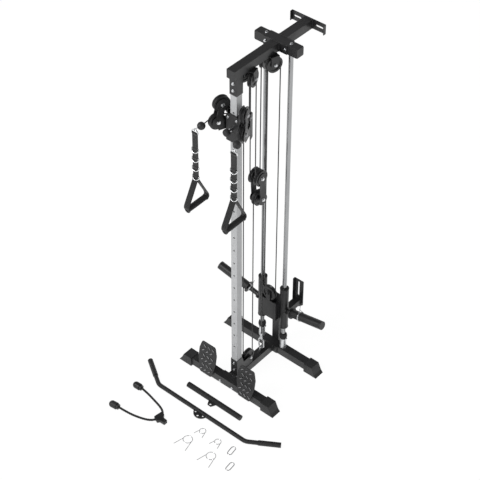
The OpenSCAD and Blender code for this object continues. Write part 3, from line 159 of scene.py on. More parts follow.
# Camera of the photograph: where it looks, from which side, and its lens
LOOK_AT = (-0.028, 0.218999, 1.13485)
AZIMUTH = 39.561
ELEVATION = 40.870
ROLL = 0.666
DISTANCE = 7.5961
FOCAL_PIXELS = 1449.62
PRINCIPAL_PIXEL = (258.876, 210.858)
PICTURE_PIXELS = 480
SENSOR_MM = 36.0


# Shapes


def unit(v):
    """Vectors along the last axis, each divided by its length."""
    v = np.asarray(v, float)
    return v / np.linalg.norm(v, axis=-1, keepdims=True)


def place(x, y, z):
    """A drawn place moved into the frame of the row."""
    return np.array([x, y, z]) + SHIFT


def toed(side, s, z):
    """The point s forward along a slider cable's turned plane, at height z, on one side."""
    return place(side * WRAP, LINE_Y, z) + s * outward(side)


def outward(side):
    """The direction away from the tower along a slider cable's turned plane, on one side."""
    return np.array([side * math.sin(SLIDER_TOE), -math.cos(SLIDER_TOE), 0])


def arc(centre, forward, start, stop, radius, count=28):
    """Points centre + radius (cos a forward + sin a up), for angles a from start to stop in degrees."""
    a = np.radians(np.linspace(start, stop, count))[:, None]
    return centre + radius * (np.cos(a) * forward + np.sin(a) * UP)


def spline(points, count):
    """Smooth curve through points: on each span the cubic whose end slopes are half the neighbours' chord."""
    p = np.asarray(points, float)
    q = np.vstack([2 * p[0] - p[1], p, 2 * p[-1] - p[-2]])
    u = np.linspace(0, len(p) - 1, count)
    i = np.minimum(u.astype(int), len(p) - 2)
    t = (u - i)[:, None]
    a, b, c, d = q[i], q[i + 1], q[i + 2], q[i + 3]
    return 0.5 * (2 * b + (c - a) * t + (2 * a - 5 * b + 4 * c - d) * t**2 + (3 * b - a - 3 * c + d) * t**3)


def travel(path):
    """Distance along a path up to each of its points."""
    steps = np.linalg.norm(np.diff(path, axis=0), axis=1)
    return np.concatenate([[0.0], np.cumsum(steps)])


def circle(radius, sides):
    """A round outline, radius (cos a, sin a)."""
    a = np.linspace(0, 2 * np.pi, sides, endpoint=False)
    return radius * np.stack([np.cos(a), np.sin(a)], -1)


def flat_oval(half_thick, half_wide, sides=20, power=5.0):
    """A flat outline with round edges: |s/h|^p + |n/w|^p = 1, walked by its angle."""
    a = np.linspace(0, 2 * np.pi, sides, endpoint=False)
    c, s = np.cos(a), np.sin(a)
    return np.stack([
        half_thick * np.sign(c) * np.abs(c) ** (2 / power),
        half_wide * np.sign(s) * np.abs(s) ** (2 / power),
    ], -1)


def dee(radius, lean):
    """A straight bar across and a half circle hung from it, leaning forward by an angle."""
    a = np.radians(np.linspace(0, 180, 30))
    low = -radius * np.sin(a)
    arch = np.column_stack([radius * np.cos(a), low * math.sin(lean), low * math.cos(lean)])
    bar = np.column_stack([np.linspace(-radius, radius, 10)[1:-1], np.zeros(8), np.zeros(8)])
    return np.vstack([arch, bar])


def grid_faces(rows, columns, close_rows=False):
    """Four-cornered faces of a grid of points whose columns close on themselves."""
    last = rows if close_rows else rows - 1
    i, k = np.meshgrid(np.arange(last), np.arange(columns), indexing="ij")
    j, m = (i + 1) % rows, (k + 1) % columns
    return np.stack([i * columns + k, j * columns + k, j * columns + m, i * columns + m], -1).reshape(-1, 4)


def sweep(path, outline, ref, closed=False):
    """Carries an outline (s, n) along a path: p + s side + n over, with side = unit(t x ref), over = side x t
    and t the path's direction. The outline may change from point to point. Returns points, faces and
    (n, length along the path) pairs."""
    path = np.asarray(path, float)
    rows = len(path)
    if closed:
        t = unit(np.roll(path, -1, 0) - np.roll(path, 1, 0))
    else:
        t = unit(np.gradient(path, axis=0))
    side = unit(np.cross(t, ref))
    over = np.cross(side, t)
    shape = np.broadcast_to(outline, (rows,) + np.shape(outline)[-2:])
    points = path[:, None] + shape[..., :1] * side[:, None] + shape[..., 1:] * over[:, None]
    columns = shape.shape[1]
    faces = [list(map(int, f)) for f in grid_faces(rows, columns, closed)]
    if not closed:
        faces.append(list(range(columns)))
        faces.append(list(range((rows - 1) * columns, rows * columns))[::-1])
    along = np.broadcast_to(travel(path)[:, None], (rows, columns))
    uv = np.stack([shape[..., 1], along], -1).reshape(-1, 2)
    return points.reshape(-1, 3), faces, uv


def revolve(profile, centre, axis, sides=48, closed=True):
    """Turns a profile of (radius, height) about an axis: centre + h axis + r (cos a e1 + sin a e2)."""
    axis = unit(axis)
    e1 = unit(np.cross(axis, UP if abs(axis[2]) < 0.9 else ACROSS))
    e2 = np.cross(axis, e1)
    a = np.linspace(0, 2 * np.pi, sides, endpoint=False)[None, :, None]
    r = np.asarray(profile, float)[:, None, :1]
    h = np.asarray(profile, float)[:, None, 1:]
    points = centre + h * axis + r * (np.cos(a) * e1 + np.sin(a) * e2)
    rows = len(profile)
    faces = [list(map(int, f)) for f in grid_faces(rows, sides, closed)]
    uv = np.stack(np.broadcast_arrays(a[..., 0] * r.max(), h[..., 0]), -1).reshape(-1, 2)
    return points.reshape(-1, 3), faces, uv


def build(name, parts, material, body=None, smooth=True):
    """Makes one mesh object at the origin from (points, faces, uv) parts, with faces turned outwards."""
    points, faces, uvs, base = [], [], [], 0
    for p, f, uv in parts:
        points.append(p)
        uvs.append(uv)
        faces += [[v + base for v in face] for face in f]
        base += len(p)
    mesh = bpy.data.meshes.new(name)
    mesh.from_pydata(np.concatenate(points).tolist(), [], faces)
    layer = mesh.uv_layers.new(name="Along")
    corner = np.zeros(len(mesh.loops), np.int32)
    mesh.loops.foreach_get("vertex_index", corner)
    layer.data.foreach_set("uv", np.concatenate(uvs)[corner].astype(np.float32).ravel())
    work = bmesh.new()
    work.from_mesh(mesh)
    bmesh.ops.remove_doubles(work, verts=work.verts, dist=1e-7)
    bmesh.ops.recalc_face_normals(work, faces=work.faces)
    work.to_mesh(mesh)
    work.free()
    mesh.polygons.foreach_set("use_smooth", [smooth] * len(mesh.polygons))
    mesh.materials.append(material)
    mesh.update()
    piece = bpy.data.objects.new(name, mesh)
    bpy.context.scene.collection.objects.link(piece)
    if body:
        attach(piece, body)
    return piece


# Node groups and materials


def add(tree, kind, **values):
    """A shader node of a kind, with numbers or colours on the inputs named."""
    node = tree.nodes.new("ShaderNode" + kind)
    for name, value in values.items():
        node.inputs[name.replace("_", " ")].default_value = value
    return node


def link(tree, *pairs):
    """Joins pairs of an output and an input."""
    for source, target in pairs:
        tree.links.new(source, target)


def feed(tree, target, value):
    """Sets an input to a number, or joins a socket to it."""
    if isinstance(value, (int, float)):
        target.default_value = value
    else:
        tree.links.new(value, target)


def math_node(tree, operation, *values):
    """A Math node whose inputs are sockets or numbers."""
    node = add(tree, "Math")
    node.operation = operation
    for target, value in zip(node.inputs, values):
        feed(tree, target, value)
    return node.outputs[0]


def noise(tree, vector, scale, detail):
    """A Noise node on a vector, its factor centred on one half."""
    node = add(tree, "TexNoise", Detail=detail)
    link(tree, (vector, node.inputs["Vector"]))
    feed(tree, node.inputs["Scale"], scale)
    return node.outputs["Fac"]


def mix(tree, factor, a, b):
    """A mix of two colours, each given as numbers or as a socket."""
    node = add(tree, "Mix")
    node.data_type = "RGBA"
    link(tree, (factor, node.inputs["Factor"]))
    for name, value in (("A", a), ("B", b)):
        if isinstance(value, tuple):
            node.inputs[name].default_value = (*value, 1.0)
        else:
            link(tree, (value, node.inputs[name]))
    return node.outputs["Result"]


def new_group(name, numbers, outputs):
    """A node group fed by a vector and by numbers with defaults, and the sockets of its two ends."""
    group = bpy.data.node_groups.new(name, "ShaderNodeTree")
    group.interface.new_socket(name="Vector", in_out="INPUT", socket_type="NodeSocketVector")
    for key, value in numbers.items():
        made = group.interface.new_socket(name=key, in_out="INPUT", socket_type="NodeSocketFloat")
        made.default_value = value
    for key, kind in outputs.items():
        group.interface.new_socket(name=key, in_out="OUTPUT", socket_type="NodeSocket" + kind)
    return group, group.nodes.new("NodeGroupInput").outputs, group.nodes.new("NodeGroupOutput").inputs


def grain_group(name):
    """Fine grain and slow cloudiness: two noises a scale apart, the slow one for handling marks."""
    scales = {"Scale": 900.0, "Cloud Scale": 9.0}
    group, enter, leave = new_group(name, scales, {"Height": "Float", "Cloud": "Float"})
    fine = noise(group, enter["Vector"], enter["Scale"], 2.0)
    slow = noise(group, enter["Vector"], enter["Cloud Scale"], 4.0)
    spread = add(group, "MapRange", From_Min=0.35, From_Max=0.65)
    link(group, (slow, spread.inputs["Value"]), (spread.outputs["Result"], leave["Cloud"]))
    link(group, (fine, leave["Height"]))
    return group


def edge_group(name):
    """Softened edges: the normal of a small round, and how far it turns from the face, broken up by noise."""
    group, enter, leave = new_group(name, {}, {"Normal": "Vector", "Wear": "Float"})
    bevel = add(group, "Bevel", Radius=EDGE_ROUND)
    bevel.samples = 4
    dot = add(group, "VectorMath")
    dot.operation = "DOT_PRODUCT"
    face = add(group, "NewGeometry")
    link(group, (bevel.outputs["Normal"], dot.inputs[0]), (face.outputs["Normal"], dot.inputs[1]))
    turned = math_node(group, "SUBTRACT", 1.0, dot.outputs["Value"])
    gate = add(group, "MapRange", From_Min=0.48, From_Max=0.70)
    link(group, (noise(group, enter["Vector"], 60.0, 5.0), gate.inputs["Value"]))
    wear = math_node(group, "MULTIPLY", turned, gate.outputs["Result"])
    link(group, (bevel.outputs["Normal"], leave["Normal"]), (wear, leave["Wear"]))
    return group


def weave_group(name):
    """Crossed diagonal ribs: sin(k(u+v)) sin(k(u-v)), high where a thread passes over."""
    group, enter, leave = new_group(name, {"Pitch": 0.0024}, {"Height": "Float"})
    split = add(group, "SeparateXYZ")
    link(group, (enter["Vector"], split.inputs[0]))
    turn = math_node(group, "DIVIDE", 2 * math.pi, enter["Pitch"])
    ribs = []
    for way in ("ADD", "SUBTRACT"):
        run = math_node(group, way, split.outputs["X"], split.outputs["Y"])
        ribs.append(math_node(group, "SINE", math_node(group, "MULTIPLY", run, turn)))
    half = math_node(group, "MULTIPLY", math_node(group, "MULTIPLY", *ribs), 0.5)
    link(group, (math_node(group, "ADD", half, 0.5), leave["Height"]))
    return group


GROUPS = {"Grain": grain_group, "Soft edges": edge_group, "Weave": weave_group}


def use_group(tree, name, vector, **values):
    """Places a group in a material, fed by a vector, with its own numbers. It is made the first time."""
    node = add(tree, "Group")
    node.node_tree = bpy.data.node_groups.get(name) or GROUPS[name](name)
    link(tree, (vector, node.inputs["Vector"]))
    for key, value in values.items():
        node.inputs[key].default_value = value
    return node.outputs


def scaled(color, factor):
    """A colour made lighter or darker, up to white."""
    return tuple(min(1.0, c * factor) for c in color)


def material(name, color, rough, metal=0.0, grain=900.0, bump=0.0001, spread=0.10, tint=0.30, sheen=0.0,
             edges=False, wear=(0.25, 0.25, 0.26), weave=0.0, weave_depth=0.0003, by_uv=False, specular=0.5):
    """A finish: base colour and roughness that drift with slow cloudiness, fine grain in the normal, and
    where asked softened worn edges or a weave, darkened between its threads as painted shade."""
    made = bpy.data.materials.new(name)
    made.use_nodes = True
    tree = made.node_tree
    shader = tree.nodes["Principled BSDF"].inputs
    where = add(tree, "TexCoord").outputs
    grained = use_group(tree, "Grain", where["Object"], Scale=grain)
    result = mix(tree, grained["Cloud"], scaled(color, 1 - tint), scaled(color, 1 + tint))
    gloss = add(tree, "MapRange", To_Min=max(0.02, rough - spread), To_Max=min(1.0, rough + spread))
    link(tree, (grained["Cloud"], gloss.inputs["Value"]), (gloss.outputs["Result"], shader["Roughness"]))
    ripple = add(tree, "Bump", Strength=0.6, Distance=bump)
    link(tree, (grained["Height"], ripple.inputs["Height"]))
    if edges:
        soft = use_group(tree, "Soft edges", where["Object"])
        link(tree, (soft["Normal"], ripple.inputs["Normal"]))
        result = mix(tree, soft["Wear"], result, wear)
    last = ripple.outputs["Normal"]
    if weave:
        threads = use_group(tree, "Weave", where["UV" if by_uv else "Object"], Pitch=weave)
        ribs = add(tree, "Bump", Distance=weave_depth)
        link(tree, (threads["Height"], ribs.inputs["Height"]), (last, ribs.inputs["Normal"]))
        last = ribs.outputs["Normal"]
        # Painted shade: the colour drops to 45 % where the weave's threads run low, standing in for the shade
        # in its hollows
        result = mix(tree, threads["Height"], scaled(color, 0.45), result)
    link(tree, (result, shader["Base Color"]), (last, shader["Normal"]))
    shader["Metallic"].default_value = metal
    shader["Specular IOR Level"].default_value = specular
    shader["Sheen Weight"].default_value = sheen
    return made


def finish(slot):
    """The finish of one of the record's slots, made the first time it is asked for. The frame brings plain
    materials with the slots' own names, so a finish has a name of its own."""
    name = slot + "_finish"
    made = bpy.data.materials.get(name)
    if made:
        return made
    look = bpy.context.scene.tower_looks
    black = tuple(look.frame_color)
    moulded = tuple(look.plastic_color)
    table = {
        "frame_paint": dict(color=black, rough=0.42, grain=1400, bump=0.00012, edges=True),
        "silver_paint": dict(color=tuple(look.upright_color), rough=0.38, grain=1100, bump=0.00008,
                             tint=0.03),
        "bar_paint": dict(color=black, rough=0.45, grain=900, weave=0.0035, weave_depth=0.0004, spread=0.08),
        "end_cap_plastic": dict(color=moulded, rough=0.55, grain=2200, bump=0.0002, edges=True,
                                wear=(0.10, 0.10, 0.10)),
        "bearing_plastic": dict(color=moulded, rough=0.4, grain=1500, bump=0.00005),
        "sleeve_plastic": dict(color=moulded, rough=0.42, grain=1800, bump=0.00012, edges=True,
                               wear=(0.12, 0.12, 0.12)),
        "chrome": dict(color=(0.78, 0.79, 0.80), rough=0.12, metal=1.0, grain=300, bump=0.00001, spread=0.05,
                       tint=0.04),
        "zinc": dict(color=(0.66, 0.67, 0.68), rough=0.28, metal=1.0, grain=2500, bump=0.00004, spread=0.10,
                     tint=0.08),
        # Painted highlight: the tread bars get a lighter metal grey than the black plate, standing in for the
        # bright shine on black raised treads
        "tread_painted_highlight": dict(color=(0.42, 0.42, 0.43), rough=0.32, metal=0.8, grain=1200, bump=0.00003,
                           tint=0.2),
        "rod_chrome": dict(color=(0.38, 0.385, 0.39), rough=0.20, metal=1.0, grain=300, bump=0.00001,
                           spread=0.05, tint=0.06),
        "collar_metal": dict(color=(0.80, 0.81, 0.82), rough=0.42, metal=0.9, grain=900, bump=0.00002,
                             tint=0.05),
        "wire_metal": dict(color=(0.93, 0.93, 0.94), rough=0.10, metal=1.0, grain=900, bump=0.00001,
                           tint=0.02),
        "pin_metal": dict(color=(0.030, 0.030, 0.031), rough=0.5, grain=1600, bump=0.00004, specular=0.35),
        "bumper_rubber": dict(color=moulded, rough=0.75, grain=1800, bump=0.0002),
        "ball_rubber": dict(color=moulded, rough=0.45, grain=1500, bump=0.0001),
        "rope": dict(color=tuple(look.fabric_color), rough=0.8, grain=2500, bump=0.0003, sheen=0.2),
        "stop_rubber": dict(color=moulded, rough=0.5, grain=1500, bump=0.0001),
        "row_grip": dict(color=moulded, rough=0.6, grain=1500, weave=0.0045, weave_depth=0.0005),
        "cable_jacket": dict(color=(0.016, 0.016, 0.017), rough=0.35, grain=2000, bump=0.00005),
        "webbing": dict(color=tuple(look.fabric_color), rough=0.85, grain=2600, bump=0.0001, sheen=0.25,
                        weave=look.weave_pitch, weave_depth=0.0005, by_uv=True),
        "foam": dict(color=(0.020, 0.020, 0.021), rough=0.85, grain=1500, bump=0.0009, spread=0.05),
        "pulley_plastic": dict(color=moulded, rough=0.36, grain=1500, bump=0.00006, spread=0.08),
    }
    return material(name, **table[slot])


# Properties

METRES = dict(subtype="DISTANCE", unit="LENGTH")
COLOUR = dict(size=3, min=0.0, max=1.0, subtype="COLOR")


class TowerStageSettings(bpy.types.PropertyGroup):
    """Light and floor."""

    key_power: FloatProperty(name="Key light", description="Power of the large light ahead and above",
                             default=190.0, min=0.0, unit="POWER")
    fill_power: FloatProperty(name="Fill light", description="Power of the light on the right",
                              default=30.0, min=0.0, unit="POWER")
    sky_level: FloatProperty(name="Sky", description="Level of the even light from all round",
                             default=0.55, min=0.0, max=1.0)
    floor_width: FloatProperty(name="Floor", description="Width of the floor",
                               default=30.0, min=5.0, **METRES)


class TowerCableSettings(bpy.types.PropertyGroup):
    """Cables and rope."""

    cable_width: FloatProperty(name="Cable", description="Diameter of the jacketed cable",
                               default=0.0060, min=0.003, max=0.008, **METRES)
    rope_width: FloatProperty(name="Rope", description="Diameter of the rope",
                              default=0.013, min=0.010, max=0.014, **METRES)
    rope_lay: FloatProperty(name="Lay", description="Length in which a strand goes once round the rope",
                            default=0.040, min=0.02, **METRES)


class TowerHandleSettings(bpy.types.PropertyGroup):
    """Webbing and grips."""

    strap_width: FloatProperty(name="Webbing", description="Width of the webbing",
                               default=0.036, min=0.02, max=0.038, **METRES)
    strap_thickness: FloatProperty(name="Ply", description="Thickness of one ply of webbing",
                                   default=0.0019, min=0.001, max=0.0025, **METRES)
    ring_radius: FloatProperty(name="Ring", description="Radius of the D-rings",
                               default=0.0225, min=0.018, max=0.024, **METRES)
    stitch_pitch: FloatProperty(name="Stitch", description="Distance between stitches",
                                default=0.0034, min=0.002, **METRES)
    grip_width: FloatProperty(name="Grip", description="Diameter of the foam grip",
                              default=0.032, min=0.025, max=0.034, **METRES)


class TowerLookSettings(bpy.types.PropertyGroup):
    """Colours."""

    frame_color: FloatVectorProperty(name="Frame", description="Colour of the frame's powder coat",
                                     default=(0.018, 0.018, 0.019), **COLOUR)
    upright_color: FloatVectorProperty(name="Upright", description="Colour of the upright",
                                       default=(0.62, 0.63, 0.64), **COLOUR)
    plastic_color: FloatVectorProperty(name="Plastic", description="Colour of the moulded parts",
                                       default=(0.020, 0.020, 0.021), **COLOUR)
    fabric_color: FloatVectorProperty(name="Fabric", description="Colour of webbing and rope",
                                      default=(0.016, 0.016, 0.017), **COLOUR)
    weave_pitch: FloatProperty(name="Weave", description="Distance between threads of the webbing",
                               default=0.0028, min=0.001, **METRES)
    weld_radius: FloatProperty(name="Weld", description="Radius of the weld beads",
                               default=0.0022, min=0.001, max=0.004, **METRES)
    tread_rows: IntProperty(name="Tread rows", description="Rows of raised bars on a foot plate",
                            default=6, min=3, max=6)


# Operators


class TOWER_OT_stage(bpy.types.Operator):
    """Camera of the photograph, pale floor, even light"""

    bl_idname = "tower.stage"
    bl_label = "Stage"

    def execute(self, context):
        setting = context.scene.tower_stage
        az, el, roll = (math.radians(v) for v in (AZIMUTH, ELEVATION, ROLL))
        back = np.array([math.sin(az) * math.cos(el), -math.cos(az) * math.cos(el), math.sin(el)])
        right = unit(np.cross(-back, UP))
        up = np.cross(right, -back)
        turned_right = math.cos(roll) * right + math.sin(roll) * up
        turned_up = math.cos(roll) * up - math.sin(roll) * right
        at = np.array(LOOK_AT) + DISTANCE * back
        lens = bpy.data.cameras.new("Camera")
        lens.sensor_width = SENSOR_MM
        lens.lens = FOCAL_PIXELS / PICTURE_PIXELS * SENSOR_MM
        lens.shift_x = (PICTURE_PIXELS / 2 - PRINCIPAL_PIXEL[0]) / PICTURE_PIXELS
        lens.shift_y = (PRINCIPAL_PIXEL[1] - PICTURE_PIXELS / 2) / PICTURE_PIXELS
        lens.clip_end = 100.0
        camera = bpy.data.objects.new("Camera", lens)
        pose = np.eye(4)
        pose[:3] = np.column_stack([turned_right, turned_up, back, at])
        camera.matrix_world = Matrix(pose.tolist())
        context.scene.collection.objects.link(camera)
        context.scene.camera = camera
        context.scene.view_settings.view_transform = "Standard"
        self.floor(context, setting.floor_width / 2)
        self.sky(context, setting.sky_level)
        self.lamp(context, "Key light", (-2.2, -4.6, 5.2), 3.2, setting.key_power)
        self.lamp(context, "Fill light", (5.2, -1.6, 3.0), 3.0, setting.fill_power)
        return {"FINISHED"}

    def floor(self, context, half):
        """Pale floor that keeps a faint shadow and shows white to the camera and in reflections."""
        mesh = bpy.data.meshes.new("Floor")
        mesh.from_pydata([(-half, -half, 0), (half, -half, 0), (half, half, 0), (-half, half, 0)], [],
                         [(0, 1, 2, 3)])
        surface = bpy.data.materials.new("Floor")
        surface.use_nodes = True
        tree = surface.node_tree
        tree.nodes.clear()
        out = add(tree, "OutputMaterial")
        matt = add(tree, "BsdfDiffuse", Color=(0.75, 0.75, 0.75, 1))
        faint = add(tree, "BsdfDiffuse", Color=(0.10, 0.10, 0.10, 1))
        glow = add(tree, "Emission", Strength=0.95)
        seen = add(tree, "AddShader")
        rays = add(tree, "LightPath").outputs
        pick = add(tree, "MixShader")
        sharp = math_node(tree, "MAXIMUM", rays["Is Camera Ray"], rays["Is Glossy Ray"])
        shown = math_node(tree, "MAXIMUM", sharp, rays["Is Transmission Ray"])
        link(tree, (faint.outputs[0], seen.inputs[0]), (glow.outputs[0], seen.inputs[1]))
        link(tree, (shown, pick.inputs[0]), (matt.outputs[0], pick.inputs[1]))
        link(tree, (seen.outputs[0], pick.inputs[2]), (pick.outputs[0], out.inputs[0]))
        mesh.materials.append(surface)
        floor = bpy.data.objects.new("Floor", mesh)
        context.scene.collection.objects.link(floor)

    def sky(self, context, level):
        """White to the camera, dimmer overhead to glossy rays, and even light for the rest."""
        world = bpy.data.worlds.new("Studio")
        context.scene.world = world
        world.use_nodes = True
        tree = world.node_tree
        tree.nodes.clear()
        out = add(tree, "OutputWorld")
        even = add(tree, "Background", Strength=level)
        white = add(tree, "Background")
        mirrored = add(tree, "Background")
        split = add(tree, "SeparateXYZ")
        fade = add(tree, "MapRange", From_Min=0.05, From_Max=0.75, To_Min=1.0, To_Max=0.10)
        rays = add(tree, "LightPath").outputs
        first = add(tree, "MixShader")
        second = add(tree, "MixShader")
        sharp = math_node(tree, "MAXIMUM", rays["Is Glossy Ray"], rays["Is Transmission Ray"])
        link(tree, (add(tree, "TexCoord").outputs["Generated"], split.inputs[0]))
        link(tree, (split.outputs["Z"], fade.inputs["Value"]), (fade.outputs[0], mirrored.inputs["Strength"]))
        link(tree, (sharp, first.inputs[0]), (even.outputs[0], first.inputs[1]))
        link(tree, (mirrored.outputs[0], first.inputs[2]), (first.outputs[0], second.inputs[1]))
        link(tree, (rays["Is Camera Ray"], second.inputs[0]), (white.outputs[0], second.inputs[2]))
        link(tree, (second.outputs[0], out.inputs[0]))

    def lamp(self, context, name, at, size, power):
        """A large square lamp that faces the middle of the tower."""
        data = bpy.data.lights.new(name, "AREA")
        data.size = size
        data.energy = power
        made = bpy.data.objects.new(name, data)
        made.location = at
        made.rotation_euler = (Vector(LOOK_AT) - Vector(at)).to_track_quat("-Z", "Y").to_euler()
        context.scene.collection.objects.link(made)


class TOWER_OT_cables(bpy.types.Operator):
    """Jacketed cables: round tubes that stretch between two bodies, and bends that ride on theirs"""

    bl_idname = "tower.cables"
    bl_label = "Cables"

    def execute(self, context):
        self.shape = circle(context.scene.tower_cables.cable_width / 2, 14)
        jacket = finish("cable_jacket")
        top = []
        for side in (-1, 1):
            for y, way in ((TOP_FRONT_Y, -1), (TOP_REAR_Y, 1)):
                out = np.array([side * math.sin(TOP_TOE), way * math.cos(TOP_TOE), 0])
                top.append(self.bend(place(side * TOP_X, y, TOP_Z), out, 0, 180, WRAP))
        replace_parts(build("cable_over_top", top, jacket, "frame"), "lift_cables")

        under = [self.bend(place(side * LIFT_X, FLOAT_UPPER_Y, FLOAT_UPPER_Z), INWARD, 180, 360, WRAP)
                 for side in (-1, 1)]
        under.append(self.bend(place(0, FLOAT_LOWER_Y, FLOAT_LOWER_Z), INWARD, 0, 180, WRAP))
        build("cable_in_block", under, jacket, "floating")
        build("cable_under_weight", [self.bend(place(0, WEIGHT_Y, WEIGHT_Z), ACROSS, 180, 360, WRAP)], jacket,
              "carriage")
        build("cable_under_low_pulley", [self.bend(place(0, LOW_AXLE_Y, LOW_Z), INWARD, 180, 360, WRAP)],
              jacket, "frame")
        self.strands(jacket)
        self.arms(jacket)
        return {"FINISHED"}

    def strands(self, jacket):
        """Upright lengths at their places in plan, between a fixed height and one that moves with a body."""
        lift = [(side * LIFT_X, y) for side in (-1, 1) for y in (LIFT_FRONT_Y, LIFT_REAR_Y)]
        weight = [(side * WRAP, WEIGHT_Y) for side in (-1, 1)]
        slider = [(side * WRAP, LINE_Y) for side in (-1, 1)]
        for name, places, still_z, body, moving_z, node in (
            ("lift_strands", lift, TOP_Z, "floating", FLOAT_UPPER_Z, None),
            ("weight_strands", weight, TOP_Z, "carriage", WEIGHT_Z, "weight_cables"),
            ("slider_strands", slider, TOP_Z, "slider", SHEAVE_Z, "slider_cables"),
            ("low_front_strand", [(0, LOW_LINE_Y)], LOW_Z, "slider", SLIDER_LUG_Z, "low_cable_front"),
            ("low_rear_strand", [(0, LOW_AXLE_Y + WRAP)], LOW_Z, "floating", FLOAT_LOWER_Z, "low_cable_rear"),
            ("anchor_strand", [(0, ANCHOR_Y)], ANCHOR_TOP_Z, "floating", FLOAT_LOWER_Z, None),
        ):
            parts = [self.strand(place(x, y, still_z), place(x, y, moving_z)) for x, y in places]
            made = build(name, parts, jacket)
            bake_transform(made)
            if node:
                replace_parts(made, node)

    def arms(self, jacket):
        """Cable round each slider sheave, over its arm and on to the ball. The straight between the two
        wheels is their inner common tangent, and the tail leaves the arm's wheel by the tangent through the
        ball."""
        ds, dz = ARM_S - SHEAVE_WRAP, ARM_Z - SHEAVE_Z
        lean = math.atan2(dz, ds) + math.asin((SHEAVE_WRAP + WRAP) / math.hypot(ds, dz))
        leave = (SHEAVE_WRAP + SHEAVE_WRAP * math.sin(lean), SHEAVE_Z - SHEAVE_WRAP * math.cos(lean))
        meet = (ARM_S - WRAP * math.sin(lean), ARM_Z + WRAP * math.cos(lean))
        pivot_z = leave[1] + (PIVOT_S - leave[0]) * math.tan(lean)
        gone = math.hypot(BALL_S - ARM_S, BALL_Z - ARM_Z)
        part_angle = math.acos(WRAP / gone) - math.atan2(ARM_Z - BALL_Z, BALL_S - ARM_S)
        part = (ARM_S + WRAP * math.cos(part_angle), ARM_Z + WRAP * math.sin(part_angle))
        way = unit([BALL_S - part[0], BALL_Z - part[1]])
        end = (BALL_S - way[0] * BALL_R * 0.97, BALL_Z - way[1] * BALL_R * 0.97)
        inner = []
        for name, side in SIDES.items():
            ahead = outward(side)
            inner.append(self.bend(toed(side, SHEAVE_WRAP, SHEAVE_Z), ahead, 180, 270 + math.degrees(lean),
                                   SHEAVE_WRAP))
            inner.append(self.strand(toed(side, *leave), toed(side, PIVOT_S, pivot_z)))
            over = [
                self.strand(toed(side, PIVOT_S, pivot_z), toed(side, *meet)),
                self.bend(toed(side, ARM_S, ARM_Z), ahead, math.degrees(part_angle), 90 + math.degrees(lean),
                          WRAP),
            ]
            made = build("cable_over_arm_" + name, over, jacket, "swivel_" + name)
            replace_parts(made, "swivel_cable_" + name)
            a, b = toed(side, *part), toed(side, *end)
            tail = build("cable_tail_" + name, [self.strand(a, b)], jacket)
            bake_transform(tail)
        build("cable_in_slider", inner, jacket, "slider")

    def bend(self, centre, forward, start, stop, radius):
        """A bend about an axle: the cable's outline carried round an arc."""
        path = arc(centre, forward, start, stop, radius)
        return sweep(path, self.shape, np.cross(forward, UP))

    def strand(self, a, b):
        """A straight length from a to b."""
        ref = ACROSS if abs(unit(b - a)[2]) > 0.5 else UP
        return sweep(np.linspace(a, b, 9), self.shape, ref)


class TOWER_OT_rope(bpy.types.Operator):
    """Laid rope that runs from one rubber stop through the yoke to the other"""

    bl_idname = "tower.rope"
    bl_label = "Rope"

    def execute(self, context):
        setting = context.scene.tower_cables
        path = spline(ROPE_ROUTE, 420) + SHIFT
        run = travel(path)
        strands, sides = 3, 30
        a = np.linspace(0, 2 * np.pi, sides, endpoint=False)[None, :]
        turn = 2 * np.pi * run[:, None] / setting.rope_lay
        lobe = np.abs(np.cos(strands / 2 * (a - turn)))
        radius = setting.rope_width / 2 * (0.80 + 0.20 * lobe ** 0.6)
        outline = np.stack([radius * np.cos(a), radius * np.sin(a)], -1)
        rope = build("rope", [sweep(path, outline, UP)], finish("rope"), "triceps_rope")
        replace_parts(rope, "triceps_rope")
        return {"FINISHED"}


